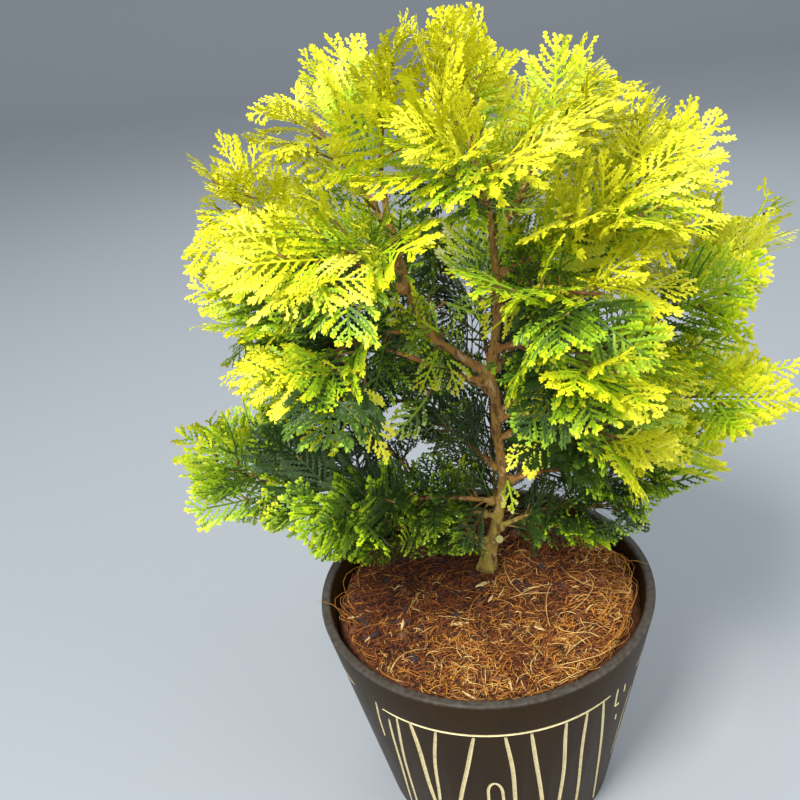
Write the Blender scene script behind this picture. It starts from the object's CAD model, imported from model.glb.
"""Potted golden dwarf false cypress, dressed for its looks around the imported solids.

The frame is the model's own: metres, +Z up, the origin under the middle of the pot, and the side
that is seen first faces -Y. Azimuths run from +X towards +Y, so 270 degrees is the front.
"""

import logging
import math
import random
from dataclasses import dataclass, field, fields, replace
from enum import Enum
from typing import Callable, Iterable, Sequence

import bmesh
import bpy
import numpy as np
from mathutils import Matrix, Vector, noise
from mathutils.bvhtree import BVHTree


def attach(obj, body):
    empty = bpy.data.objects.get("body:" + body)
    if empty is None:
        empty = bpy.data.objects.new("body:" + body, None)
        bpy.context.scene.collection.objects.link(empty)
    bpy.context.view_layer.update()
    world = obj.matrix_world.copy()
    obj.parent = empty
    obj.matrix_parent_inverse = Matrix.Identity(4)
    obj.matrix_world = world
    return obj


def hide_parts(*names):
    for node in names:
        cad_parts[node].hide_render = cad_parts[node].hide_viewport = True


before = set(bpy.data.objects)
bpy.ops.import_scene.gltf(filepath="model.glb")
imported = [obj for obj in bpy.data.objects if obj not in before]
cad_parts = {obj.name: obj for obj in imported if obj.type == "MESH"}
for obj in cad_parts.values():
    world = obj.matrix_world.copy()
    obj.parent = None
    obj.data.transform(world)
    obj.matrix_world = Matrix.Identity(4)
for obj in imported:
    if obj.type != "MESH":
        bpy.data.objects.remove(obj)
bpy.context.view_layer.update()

MM = 0.001
UP = Vector((0.0, 0.0, 1.0))
BODY = "root"
MOST_TRIANGLES = 190_000
MOST_AT_ONCE = 20_000
log = logging.getLogger("potted_false_cypress")

Piece = bpy.types.Object
Paint = bpy.types.Material
Array = np.ndarray
Range = tuple[float, float]
Triple = tuple[float, float, float]
Rows = tuple[tuple[float, ...], ...]
# The points and the triangles of a mesh.
Shape = tuple[Array, Array]
# Places along a line, each with x, y, z and the radius there.
Line = list[Vector]
# Says of a face's middle and normal, or of an edge's ends, whether it is wanted.
Test = Callable[[Vector, Vector], bool]
EVEN = (1.0, 1.0, 1.0)


# Shader building


class Socket:
    """A shader value or colour, on which Python's operators add Math nodes."""

    def __init__(self, shader: "Shader", output: bpy.types.NodeSocket) -> None:
        """Wraps an output of one of the shader's nodes."""
        self.shader = shader
        self.output = output

    def maths(self, operation: str, first: "Value", second: "Value") -> "Socket":
        """The result of one Math node on two values."""
        return self.shader.node("ShaderNodeMath", {"operation": operation}, {0: first, 1: second})

    def __add__(self, other: "Value") -> "Socket":
        """This value plus another."""
        return self.maths("ADD", self, other)

    __radd__ = __add__

    def __sub__(self, other: "Value") -> "Socket":
        """This value less another."""
        return self.maths("SUBTRACT", self, other)

    def __rsub__(self, other: "Value") -> "Socket":
        """Another value less this one."""
        return self.maths("SUBTRACT", other, self)

    def __mul__(self, other: "Value") -> "Socket":
        """This value times another."""
        return self.maths("MULTIPLY", self, other)

    __rmul__ = __mul__

    def __truediv__(self, other: "Value") -> "Socket":
        """This value over another."""
        return self.maths("DIVIDE", self, other)

    def clamped(self) -> "Socket":
        """This value held between nought and one."""
        return self.maths("MINIMUM", self.maths("MAXIMUM", self, 0.0), 1.0)


Value = Socket | float


class Shader:
    """The nodes of one material, around its Principled shader."""

    def __init__(self, name: str, roughness: float) -> None:
        """Starts a material.

        Args:
            name: The material's name.
            roughness: The roughness all over, unless a link changes it.
        """
        self.material = bpy.data.materials.new(name)
        self.material.use_nodes = True
        self.tree = self.material.node_tree
        self.surface = self.tree.nodes["Principled BSDF"]
        self.surface.inputs["Roughness"].default_value = roughness

    def node(self, kind: str, settings: dict, inputs: dict, output: int | str = 0) -> Socket:
        """Adds a node.

        Args:
            kind: The node's type.
            settings: Its properties by name, which are set first.
            inputs: Values, colours or sockets by input name or number.
            output: The output that is wanted.

        Returns:
            That output.
        """
        node = self.tree.nodes.new(kind)
        for key, value in settings.items():
            setattr(node, key, value)
        for key, value in inputs.items():
            if isinstance(value, Socket):
                self.tree.links.new(value.output, node.inputs[key])
            elif isinstance(value, tuple) and len(node.inputs[key].default_value) == 4:
                node.inputs[key].default_value = (*value, 1.0)
            else:
                node.inputs[key].default_value = value
        return Socket(self, node.outputs[output])

    def here(self, stretch: Triple = EVEN) -> Socket:
        """The place on the piece, in metres, with each axis stretched."""
        place = self.node("ShaderNodeTexCoord", {}, {}, "Object")
        return self.node("ShaderNodeMapping", {}, {0: place, 3: stretch})

    def height(self) -> Socket:
        """The height above the ground, in metres."""
        return self.node("ShaderNodeSeparateXYZ", {}, {0: self.here()}, "Z")

    def mottle(self, size: float, detail: float, warp: float = 0.0, stretch: Triple = EVEN) -> Socket:
        """Noise from nought to one, in blotches of a size in metres, with finer layers."""
        inputs = {0: self.here(stretch), "Scale": 1.0 / size, "Detail": detail, "Distortion": warp}
        return self.node("ShaderNodeTexNoise", {}, inputs)

    def blend(self, factor: Value, first: Triple | Socket, second: Triple | Socket) -> Socket:
        """Two colours mixed, with more of the second where the factor is higher."""
        inputs = {0: factor, 6: first, 7: second}
        return self.node("ShaderNodeMix", {"data_type": "RGBA"}, inputs, 2)

    def feed(self, name: str, value: Socket) -> None:
        """Links a value or colour to an input of the surface."""
        self.tree.links.new(value.output, self.surface.inputs[name])

    def relief(self, height: Socket, depth: float, strength: float = 1.0) -> None:
        """Bumps the surface by a height from nought to one, of a depth in metres."""
        inputs = {"Height": height, "Distance": depth, "Strength": strength}
        self.feed("Normal", self.node("ShaderNodeBump", {}, inputs))


# Finishes


@dataclass(frozen=True)
class Finish:
    """A finish of two colours in blotches, with a relief of its own grain or of the blotches.

    The first colour shows where the blotches are low. Sizes are in metres.
    """

    name: str
    first: Triple
    second: Triple
    roughness: float = 0.5
    blotch: float = 6.0 * MM
    detail: float = 2.0
    warp: float = 0.0
    low: float = 0.0
    gain: float = 1.0
    grain: float = 0.0
    depth: float = 0.0
    strength: float = 0.6

    def make(self) -> Paint:
        """Makes the material.

        Returns:
            The material.
        """
        shader = Shader(self.name, self.roughness)
        blotches = shader.mottle(self.blotch, self.detail, self.warp)
        factor = ((blotches - self.low) * self.gain).clamped()
        shader.feed("Base Color", shader.blend(factor, self.first, self.second))
        relief = shader.mottle(self.grain, 1.0) if self.grain else blotches
        if self.depth:
            shader.relief(relief, self.depth, self.strength)
        return shader.material


def leaf(name: str, first: Triple, second: Triple) -> Finish:
    """Leaf of one tint, with a faint mottle and fine scales."""
    return Finish("leaf_" + name, first, second, grain=0.9 * MM, depth=0.25 * MM, strength=0.5)


def twig(name: str, first: Triple, second: Triple) -> Finish:
    """Smooth young wood."""
    return Finish("twig_" + name, first, second, 0.6, 2.0 * MM, 3.0, grain=0.7 * MM, depth=0.15 * MM)


def coir(name: str, first: Triple, second: Triple, blotch: float = 1.4 * MM) -> Finish:
    """Dull crumbly coir, dark and light."""
    return Finish("coir_" + name, first, second, 0.9, blotch, 5.0, 0.5, 0.3, 2.4, 0.0, 0.5 * MM, 0.8)


class Tint(Enum):
    """The plain tints in which the foliage is dealt out, from its lit tips inwards."""

    TIP = leaf("tip", (0.79, 0.77, 0.024), (0.72, 0.71, 0.015))
    GOLD = leaf("gold", (0.74, 0.73, 0.008), (0.62, 0.65, 0.008))
    SUNLIT = leaf("sunlit", (0.53, 0.68, 0.008), (0.42, 0.59, 0.008))
    LIME = leaf("lime", (0.30, 0.48, 0.008), (0.22, 0.38, 0.008))
    GREEN = leaf("green", (0.108, 0.205, 0.007), (0.068, 0.145, 0.007))
    DEEP = leaf("deep", (0.036, 0.086, 0.007), (0.020, 0.052, 0.006))
    PALE = leaf("pale", (0.80, 0.80, 0.34), (0.62, 0.66, 0.22))


SLOTS = {Tint.LIME: "foliage_lime", Tint.PALE: "foliage_lime"}
SLOTS |= {Tint.GREEN: "foliage_green", Tint.DEEP: "foliage_green"}
OLIVE_TWIG = twig("olive", (0.34, 0.23, 0.05), (0.22, 0.12, 0.03))
BROWN_TWIG = twig("brown", (0.31, 0.14, 0.05), (0.18, 0.075, 0.03))
CUT_WOOD = Finish("cut_wood", (0.60, 0.57, 0.22), (0.36, 0.33, 0.10), 0.7, 0.8 * MM, warp=2.0)
CLAY = Finish("carved_clay", (0.82, 0.72, 0.42), (0.58, 0.46, 0.24), 0.75, 1.8 * MM, 4.0)
CLAY = replace(CLAY, low=0.45, gain=3.0, depth=0.2 * MM)
COIR_BED = coir("bed", (0.036, 0.011, 0.004), (0.19, 0.052, 0.010), 2.2 * MM)
COIR_DARK_LUMPS = coir("dark_lumps", (0.018, 0.010, 0.011), (0.055, 0.026, 0.026))
COIR_RED_LUMPS = coir("red_lumps", (0.085, 0.030, 0.014), (0.22, 0.085, 0.032))
HUSK = coir("chips", (0.55, 0.36, 0.14), (0.80, 0.62, 0.30), 2.4 * MM)
FIBRES = {
    "russet": coir("russet", (0.13, 0.034, 0.008), (0.39, 0.108, 0.018)),
    "ochre": coir("ochre", (0.44, 0.155, 0.022), (0.78, 0.37, 0.056)),
    "straw": coir("straw", (0.78, 0.46, 0.12), (0.95, 0.71, 0.28)),
    "dark": coir("dark", (0.030, 0.010, 0.006), (0.090, 0.026, 0.010)),
}
FLOOR = Finish("studio_floor", (0.36, 0.39, 0.42), (0.36, 0.39, 0.42), 0.85, 0.5, 1.0)


@dataclass(frozen=True)
class BarkFinish:
    """Flaking bark: greenish tan at the foot, red-brown above, and warmer on the boughs."""

    foot: Triple = (0.42, 0.31, 0.052)
    red: Triple = (0.43, 0.225, 0.045)
    dark: Triple = (0.100, 0.044, 0.018)
    flake: Triple = (0.80, 0.54, 0.30)
    bough: Triple = (0.50, 0.20, 0.055)
    foot_top: float = 136.0 * MM
    foot_fade: float = 26.0 * MM

    def make(self) -> Paint:
        """Bark with lengthwise streaks, flakes and relief.

        Returns:
            The material.
        """
        shader = Shader("bark_flaking", 0.82)
        streaks = shader.mottle(2.2 * MM, 4.0, 0.6, (1.0, 1.0, 0.35))
        flakes = shader.mottle(3.4 * MM, 3.0, 1.2, (1.0, 1.0, 0.55))
        branch = shader.node("ShaderNodeAttribute", {"attribute_name": "bough"}, {}, "Fac")
        rise = ((shader.height() - self.foot_top) / self.foot_fade).clamped()
        base = shader.blend(rise, self.foot, shader.blend(branch, self.red, self.bough))
        cracks = ((streaks - 0.52) * 6.0).clamped() * 0.85
        light = ((flakes - 0.56) * 9.0).clamped() * 0.55
        cracked = shader.blend(cracks, base, self.dark)
        shader.feed("Base Color", shader.blend(light, cracked, self.flake))
        shader.relief(streaks + flakes * 0.6, 0.55 * MM)
        return shader.material


@dataclass(frozen=True)
class GlazeFinish:
    """The pot's dark brown satin slip, brushed on, with a rubbed rim."""

    dark: Triple = (0.017, 0.0085, 0.0016)
    brown: Triple = (0.044, 0.0220, 0.0035)
    rubbed: Triple = (0.12, 0.115, 0.105)
    gloss: float = 0.11
    rim_from: float = 108.4 * MM
    rim_fade: float = 1.2 * MM

    def make(self) -> Paint:
        """Dark slip with faint upright brush marks, paler where the rim is rubbed.

        Returns:
            The material.
        """
        shader = Shader("pot_slip", 0.42)
        shader.surface.inputs["Specular IOR Level"].default_value = self.gloss
        brush = shader.mottle(3.0 * MM, 4.0, 0.3, (1.0, 1.0, 0.08))
        cloud = shader.mottle(24.0 * MM, 3.0)
        base = shader.blend((brush * 0.6 + cloud * 0.5 - 0.15).clamped(), self.dark, self.brown)
        wear = shader.mottle(2.5 * MM, 4.0) * 1.1 - 0.12
        edge = ((shader.height() - self.rim_from) / self.rim_fade).clamped()
        shader.feed("Base Color", shader.blend((edge * wear).clamped(), base, self.rubbed))
        shader.feed("Roughness", 0.34 + brush * 0.16)
        shader.relief(brush, 0.12 * MM, 0.5)
        return shader.material


# Modelling helpers


def only(*objects: Piece) -> None:
    """Leaves object mode with only these objects selected, or none, and the first one active.

    Args:
        objects: The objects.
    """
    if bpy.context.object and bpy.context.object.mode != "OBJECT":
        bpy.ops.object.mode_set(mode="OBJECT")
    bpy.ops.object.select_all(action="DESELECT")
    for obj in reversed(objects):
        obj.select_set(True)
        bpy.context.view_layer.objects.active = obj


def linked(name: str, data: bpy.types.ID | None) -> Piece:
    """Adds an object to the scene.

    Args:
        name: Its name.
        data: What it shows, or none for an empty.

    Returns:
        The object.
    """
    obj = bpy.data.objects.new(name, data)
    bpy.context.scene.collection.objects.link(obj)
    return obj


def primitive(operator: Callable, name: str, **settings: object) -> Piece:
    """Adds a primitive to be shaped, with its place and turn already in its mesh.

    Args:
        operator: What adds it.
        name: The object's name.
        settings: What the operator takes.

    Returns:
        The object.
    """
    only()
    operator(**settings)
    obj = bpy.context.object
    obj.name = name
    bpy.ops.object.transform_apply(location=True, rotation=True, scale=True)
    return obj


def select(obj: Piece, kind: str, wanted: Test) -> None:
    """Opens an object for editing with some of its faces or edges selected.

    Args:
        obj: The object.
        kind: FACE or EDGE.
        wanted: The test of each.
    """
    only(obj)
    bpy.ops.object.mode_set(mode="EDIT")
    bpy.ops.mesh.select_mode(type=kind)
    bpy.ops.mesh.select_all(action="DESELECT")
    mesh = bmesh.from_edit_mesh(obj.data)
    if kind == "FACE":
        for face in mesh.faces:
            face.select_set(wanted(face.calc_center_median(), face.normal))
    else:
        for edge in mesh.edges:
            edge.select_set(wanted(edge.verts[0].co, edge.verts[1].co))
    mesh.select_flush_mode()
    bmesh.update_edit_mesh(obj.data)


def all_faces_out(doubles: float = 0.0) -> None:
    """Points every face of the object in edit mode outwards, and leaves edit mode.

    Args:
        doubles: Points this near to each other are merged first.
    """
    bpy.ops.mesh.select_all(action="SELECT")
    bpy.ops.mesh.remove_doubles(threshold=doubles)
    bpy.ops.mesh.normals_make_consistent(inside=False)
    bpy.ops.object.mode_set(mode="OBJECT")


def modify(obj: Piece, kind: str, **settings: object) -> None:
    """Adds a modifier and applies it.

    Args:
        obj: The object.
        kind: The modifier's type.
        settings: Its properties.
    """
    only(obj)
    modifier = obj.modifiers.new(kind.lower(), kind)
    for key, value in settings.items():
        setattr(modifier, key, value)
    bpy.ops.object.modifier_apply(modifier=modifier.name)


def dress(obj: Piece, material: Paint, smooth: float) -> None:
    """Gives an object a material, and smooth shading up to an angle in degrees.

    Args:
        obj: The object.
        material: The material.
        smooth: The angle.
    """
    obj.data.materials.append(material)
    only(obj)
    bpy.ops.object.shade_smooth_by_angle(angle=math.radians(smooth))


def ride(obj: Piece, nodes: Sequence[str] = ()) -> None:
    """Lets a finished piece move with the plant.

    Args:
        obj: The piece.
        nodes: The solids that it stands for.
    """
    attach(obj, BODY)
    if nodes:
        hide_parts(*nodes)
    obj.data.calc_loop_triangles()
    log.info("%s: %d triangles", obj.name, len(obj.data.loop_triangles))


def rod(line: Line, resolution: int) -> Piece:
    """A tapering rod with flat ends, as a curve made a closed mesh.

    Args:
        line: Its middle line, with radii.
        resolution: How round it is.

    Returns:
        The rod.
    """
    only()
    bpy.ops.curve.primitive_nurbs_path_add(location=(0.0, 0.0, 0.0))
    curve = bpy.context.object.data
    curve.splines.clear()
    curve.bevel_depth = 1.0
    curve.bevel_resolution = resolution
    curve.use_fill_caps = True
    curve.twist_mode = "MINIMUM"
    spline = curve.splines.new("POLY")
    spline.points.add(len(line) - 1)
    for point, place in zip(spline.points, line):
        point.co = (*place.xyz, 1.0)
        point.radius = place.w
    bpy.ops.object.convert(target="MESH")
    bpy.ops.object.mode_set(mode="EDIT")
    all_faces_out(0.01 * MM)
    return bpy.context.object


def taken(obj: Piece) -> Shape:
    """Takes the points and triangles of a shape that is modelled once and copied.

    Args:
        obj: The modelled shape, which is removed.

    Returns:
        Its points and its triangles.
    """
    points = np.array([vertex.co[:] for vertex in obj.data.vertices])
    faces = np.array([face.vertices[:] for face in obj.data.polygons])
    bpy.data.objects.remove(obj, do_unlink=True)
    return points, faces


class Bunch:
    """Many small shapes of triangles, gathered to become joined meshes."""

    def __init__(self, name: str) -> None:
        """Starts an empty bunch, whose pieces take its name."""
        self.name = name
        self.shapes: list[Shape] = []

    def add(self, points: Array, faces: Array) -> None:
        """Adds copies of one shape.

        Args:
            points: The points of each copy, as copies by points by three.
            faces: The triangles of one copy, as rows of point numbers.
        """
        most = max(1, MOST_AT_ONCE // len(faces))
        for start in range(0, len(points), most):
            some = points[start : start + most]
            offsets = np.arange(len(some))[:, None, None] * some.shape[1]
            self.shapes.append((some.reshape(-1, 3), (faces[None] + offsets).reshape(-1, 3)))

    def build(self, finish: Finish, slot: str, nodes: Sequence[str] = ()) -> None:
        """Makes its pieces, each under the most triangles that a piece may have.

        Args:
            finish: Their finish.
            slot: Their material slot.
            nodes: The solids that the first piece stands for.
        """
        material = finish.make()
        groups: list[list[Shape]] = []
        count = 0
        for shape in self.shapes:
            count += len(shape[1])
            if not groups or count > MOST_TRIANGLES:
                groups.append([])
                count = len(shape[1])
            groups[-1].append(shape)
        for number, group in enumerate(groups, 1):
            starts = np.cumsum([0] + [len(points) for points, _ in group])
            faces = [faces + start for (_, faces), start in zip(group, starts)]
            mesh = bpy.data.meshes.new(f"{self.name}_{number}")
            points = np.concatenate([points for points, _ in group])
            mesh.from_pydata(points, [], np.concatenate(faces), shade_flat=False)
            mesh.materials.append(material)
            ride(linked(mesh.name, mesh), nodes if number == 1 else ())


def strip_faces(steps: int, wide: int, closed: bool = False) -> list[Triple]:
    """Triangles of a strip with some points across at each station.

    Args:
        steps: How many stretches it has.
        wide: How many points lie across.
        closed: Whether it goes round, as a tube does.

    Returns:
        The triangles.
    """
    faces = []
    for i in range(steps):
        for k in range(wide if closed else wide - 1):
            a = wide * i + k
            b = wide * i + (k + 1) % wide
            faces += [(a, b, b + wide), (a, b + wide, a + wide)]
    return faces


def tube_grid(middles: Array, radii: Array, sides: int) -> Shape:
    """Many slim tubes at once, closed at their ends.

    Args:
        middles: The middle lines, as tubes by places by three.
        radii: The radius at each place, as tubes by places.
        sides: How many sides a tube has.

    Returns:
        The points, as tubes by points by three, and the triangles of one tube.
    """
    count, stations = middles.shape[:2]
    heading = np.gradient(middles, axis=1)
    heading /= np.linalg.norm(heading, axis=2, keepdims=True) + 1e-12
    steady = np.where(np.abs(heading[:, :1, 2:3]) > 0.9, (1.0, 0.0, 0.0), (0.0, 0.0, 1.0))
    across = np.cross(heading, np.broadcast_to(steady, heading.shape))
    across /= np.linalg.norm(across, axis=2, keepdims=True) + 1e-12
    other = np.cross(heading, across)
    turn = 2 * np.pi * np.arange(sides) / sides
    ring = np.cos(turn)[:, None] * across[:, :, None] + np.sin(turn)[:, None] * other[:, :, None]
    points = middles[:, :, None] + ring * radii[:, :, None, None]
    faces = strip_faces(stations - 1, sides, True)
    last = (stations - 1) * sides
    for k in range(1, sides - 1):
        faces += [(0, k + 1, k), (last, last + k, last + k + 1)]
    return points.reshape(count, stations * sides, 3), np.array(faces)


# Trunk and boughs, by the same growth rule as the solids


TRUNK_NAME = "trunk"
LEADER_NAME = "left_leader"
GAP = 0.3 * MM

# Trunk and second leader: millimetres along x, y, z and the radius there.
TRUNK = (
    (2, 14, 103.9, 6.8),
    (2, 14, 106.5, 5.7),
    (3.6, 12.5, 116, 4.6),
    (6.6, 11, 129, 3.6),
    (10.3, 10, 146, 3.1),
    (12, 9, 163, 2.9),
    (10.2, 7, 184, 3),
    (10.8, 5, 199, 3.1),
    (9, 3.5, 213, 2.9),
    (12, 2, 229, 2.3),
    (14, 0, 250, 2.1),
    (12.8, -2, 271, 1.9),
    (10.8, -4, 288, 1.6),
    (8.5, -5, 303, 1.2),
)
LEADER = (
    (9, 3.5, 212, 2.6),
    (-2, 3, 222, 2.4),
    (-12, 2, 231, 2.3),
    (-19, -1, 250, 2.2),
    (-22.5, -3, 269, 2),
    (-24.8, -5, 287, 1.7),
    (-25, -6, 301, 1.2),
)
LIMB_SPACING = 10.0 * MM

# Boughs. Each row: name, limb it grows from, height of its root, azimuth, reach and height of the
# tip of its foliage, bow of the bough above the straight line (all mm and degrees), the number of
# fans on each side of the foliage's stem, and how much lighter the foliage is seen than its place
# alone would make it.
BOUGHS = (
    ("low_left", TRUNK_NAME, 137, 186, 143, 184, 4, 4, -0.14),
    ("bottom_left", TRUNK_NAME, 121, 200, 80, 147, 18, 2, -0.26),
    ("low_left_front", TRUNK_NAME, 145, 205, 108, 172, 14, 4, -0.22),
    ("left_mid", TRUNK_NAME, 114, 176, 108, 226, 34, 5, -0.12),
    ("left_upper", TRUNK_NAME, 207, 183, 119, 266, 2, 4, -0.06),
    ("left_droop", LEADER_NAME, 234, 226, 84, 238, 18, 3, 0.06),
    ("left_high", LEADER_NAME, 252, 178, 84, 304, 4, 4, 0.04),
    ("front_left_upper", LEADER_NAME, 262, 246, 62, 280, 12, 2, 0.12),
    ("top_left", LEADER_NAME, 278, 165, 34, 332, 4, 3, 0),
    ("front_high", TRUNK_NAME, 279, 262, 60, 318, 8, 3, 0),
    ("top_right", TRUNK_NAME, 268, 20, 50, 332, 6, 3, 0),
    ("right_high", TRUNK_NAME, 246, 4, 80, 302, 2, 4, 0),
    ("right_front_high", TRUNK_NAME, 256, 322, 82, 293, 6, 3, 0),
    ("front_right_upper", TRUNK_NAME, 240, 296, 84, 268, 16, 3, 0.04),
    ("right_long", TRUNK_NAME, 194, 1, 128, 274, -8, 4, -0.12),
    ("right_mid", TRUNK_NAME, 180, 355, 122, 199, 10, 4, -0.08),
    ("front_right_mid", TRUNK_NAME, 224, 300, 92, 234, 18, 3, 0.08),
    ("front_right_low", TRUNK_NAME, 190, 314, 84, 196, 20, 3, 0.12),
    ("right_low", TRUNK_NAME, 156, 350, 92, 166, 12, 4, -0.16),
    ("bottom_right", TRUNK_NAME, 129, 344, 66, 147, 16, 2, -0.28),
    ("back_low_right", TRUNK_NAME, 150, 38, 102, 188, 6, 4, -0.12),
    ("back_low", TRUNK_NAME, 134, 88, 88, 172, 8, 4, -0.26),
    ("back_low_left", TRUNK_NAME, 161, 138, 104, 196, 6, 4, -0.22),
    ("back_mid_right", TRUNK_NAME, 212, 46, 106, 250, 4, 4, -0.10),
    ("back_mid", TRUNK_NAME, 187, 92, 98, 240, 2, 4, -0.14),
    ("back_mid_left", TRUNK_NAME, 201, 134, 108, 254, 4, 4, 0),
    ("back_high", TRUNK_NAME, 236, 84, 70, 306, 4, 4, 0),
)

# The two ends of the crown that need no bough, as the limb grows straight into them.
LEADING_TIPS = (
    ("top", TRUNK_NAME, (4.0, 0.0, 344.0)),
    ("top_leader", LEADER_NAME, (-20.0, 0.0, 354.0)),
)
LEADING_FANS = 3
BOUGH_SHARE = 0.40
BOUGH_THICKEST = 1.8 * MM
BOUGH_THINNEST = 1.05 * MM
BOW_PLACE = 0.42

# Foliage: the stem, and the flat fans on it that the sprays fill.
STEM_SHARE = 0.74
STEM_POINTS = 4
STEM_SIDES = 4
STEM_RADIUS = 1.0 * MM
STEM_TIP_RADIUS = 0.7 * MM
TWIG_RADIUS = 0.55 * MM
FAN_LENGTH = 56.0 * MM
FAN_SHORTEST = 26.0 * MM
FAN_WIDTH = 0.66
FAN_BARE = 0.16
FAN_TEETH = 3
END_FAN_TEETH = 4
FAN_THICKNESS = 1.1 * MM
FAN_DROOP = 0.10
FAN_SUNK = 0.3
NECK = 1.3
LAST_NOTCH = 0.87
ROOT_SWELL = 0.35
TIP_BLUNT = 1.12
TOOTH_SWEEP = math.radians(44)
WIDEST_AT = 0.45
NOTCH_DEPTH = 0.68
ROOT_ANGLE = 58.0
TIP_ANGLE = 36.0
OUT_OF_PLANE = 30.0
ROLL = 60.0
LIFT = 0.34
FACE_UP = 0.9
FACE_OUT = 0.45
TAPER_ALONG = 0.16
SHRINK = 0.5
SIZE_SPREAD = 0.06
WOBBLE = 10.0
TRIES = 14
CLEARANCE = 0.5 * MM
SPACE_OVERLAP = 1.22
SPACE_TESTS = (0.5, 0.95)
LOWEST_LEAF = 120.0 * MM
CROWN_CENTRE = Vector((2.0, 4.0, 250.0)) * MM
CROWN_RADIUS = 110.0 * MM
SKIRT_TAPER = 0.22
GOLD_ABOVE = 230.0 * MM
LIME_ABOVE = 180.0 * MM
LOW_ROOT = 158.0 * MM
SEED = 40


def knot(place: Vector, radius: float) -> Vector:
    """A place on a line, with the radius there."""
    return Vector((*place.xyz, radius))


def spline_points(rows: Sequence[tuple], spacing: float) -> Line:
    """Evenly spaced places on a smooth curve through rows.

    Args:
        rows: Rows of x, y, z and radius in millimetres.
        spacing: The distance between places.

    Returns:
        The places.
    """
    knots = [Vector(row) * MM for row in rows]
    padded = [knots[0], *knots, knots[-1]]
    found = []
    for a, b, c, d in zip(padded, padded[1:], padded[2:], padded[3:]):
        count = max(1, round((c.xyz - b.xyz).length / spacing))
        rise = (c - a) * 0.5
        fall = (d - b) * 0.5
        square = c * 3 - b * 3 - rise * 2 - fall
        cube = b * 2 - c * 2 + rise + fall
        for t in (j / count for j in range(count)):
            found.append(b + rise * t + square * t**2 + cube * t**3)
    return [*found, knots[-1]]


def at_height(line: Line, height: float) -> Vector:
    """The place on a limb at a height.

    Args:
        line: The limb's middle line.
        height: The height.

    Returns:
        The place, with the limb's radius there.
    """
    for low, high in zip(line, line[1:]):
        if low.z <= height <= high.z:
            return low.lerp(high, (height - low.z) / (high.z - low.z))
    return line[-1]


def outward(azimuth: float) -> Vector:
    """The level direction at an azimuth in degrees."""
    return Vector((math.cos(math.radians(azimuth)), math.sin(math.radians(azimuth)), 0.0))


@dataclass
class Route:
    """The middle line of a bough and of the foliage that grows on from it, as one bowed curve."""

    start: Vector
    end: Vector
    bow: float

    def halves(self, t: float) -> tuple[Vector, Vector]:
        """The places at t on the curve's two handles."""
        middle = self.start.lerp(self.end, BOW_PLACE) + UP * self.bow
        return self.start.lerp(middle, t), middle.lerp(self.end, t)

    def at(self, t: float) -> Vector:
        """The place at t, from 0 at the root to 1 at the foliage's tip."""
        first, second = self.halves(t)
        return first.lerp(second, t)

    def along(self, t: float) -> Vector:
        """The direction of growth at t."""
        first, second = self.halves(t)
        return (second - first).normalized()


def tree_of(points: Iterable[Vector], faces: Iterable[Sequence[int]]) -> BVHTree:
    """A search tree of a mesh, for tests of what touches what."""
    return BVHTree.FromPolygons([tuple(point) for point in points], [tuple(face) for face in faces])


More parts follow.
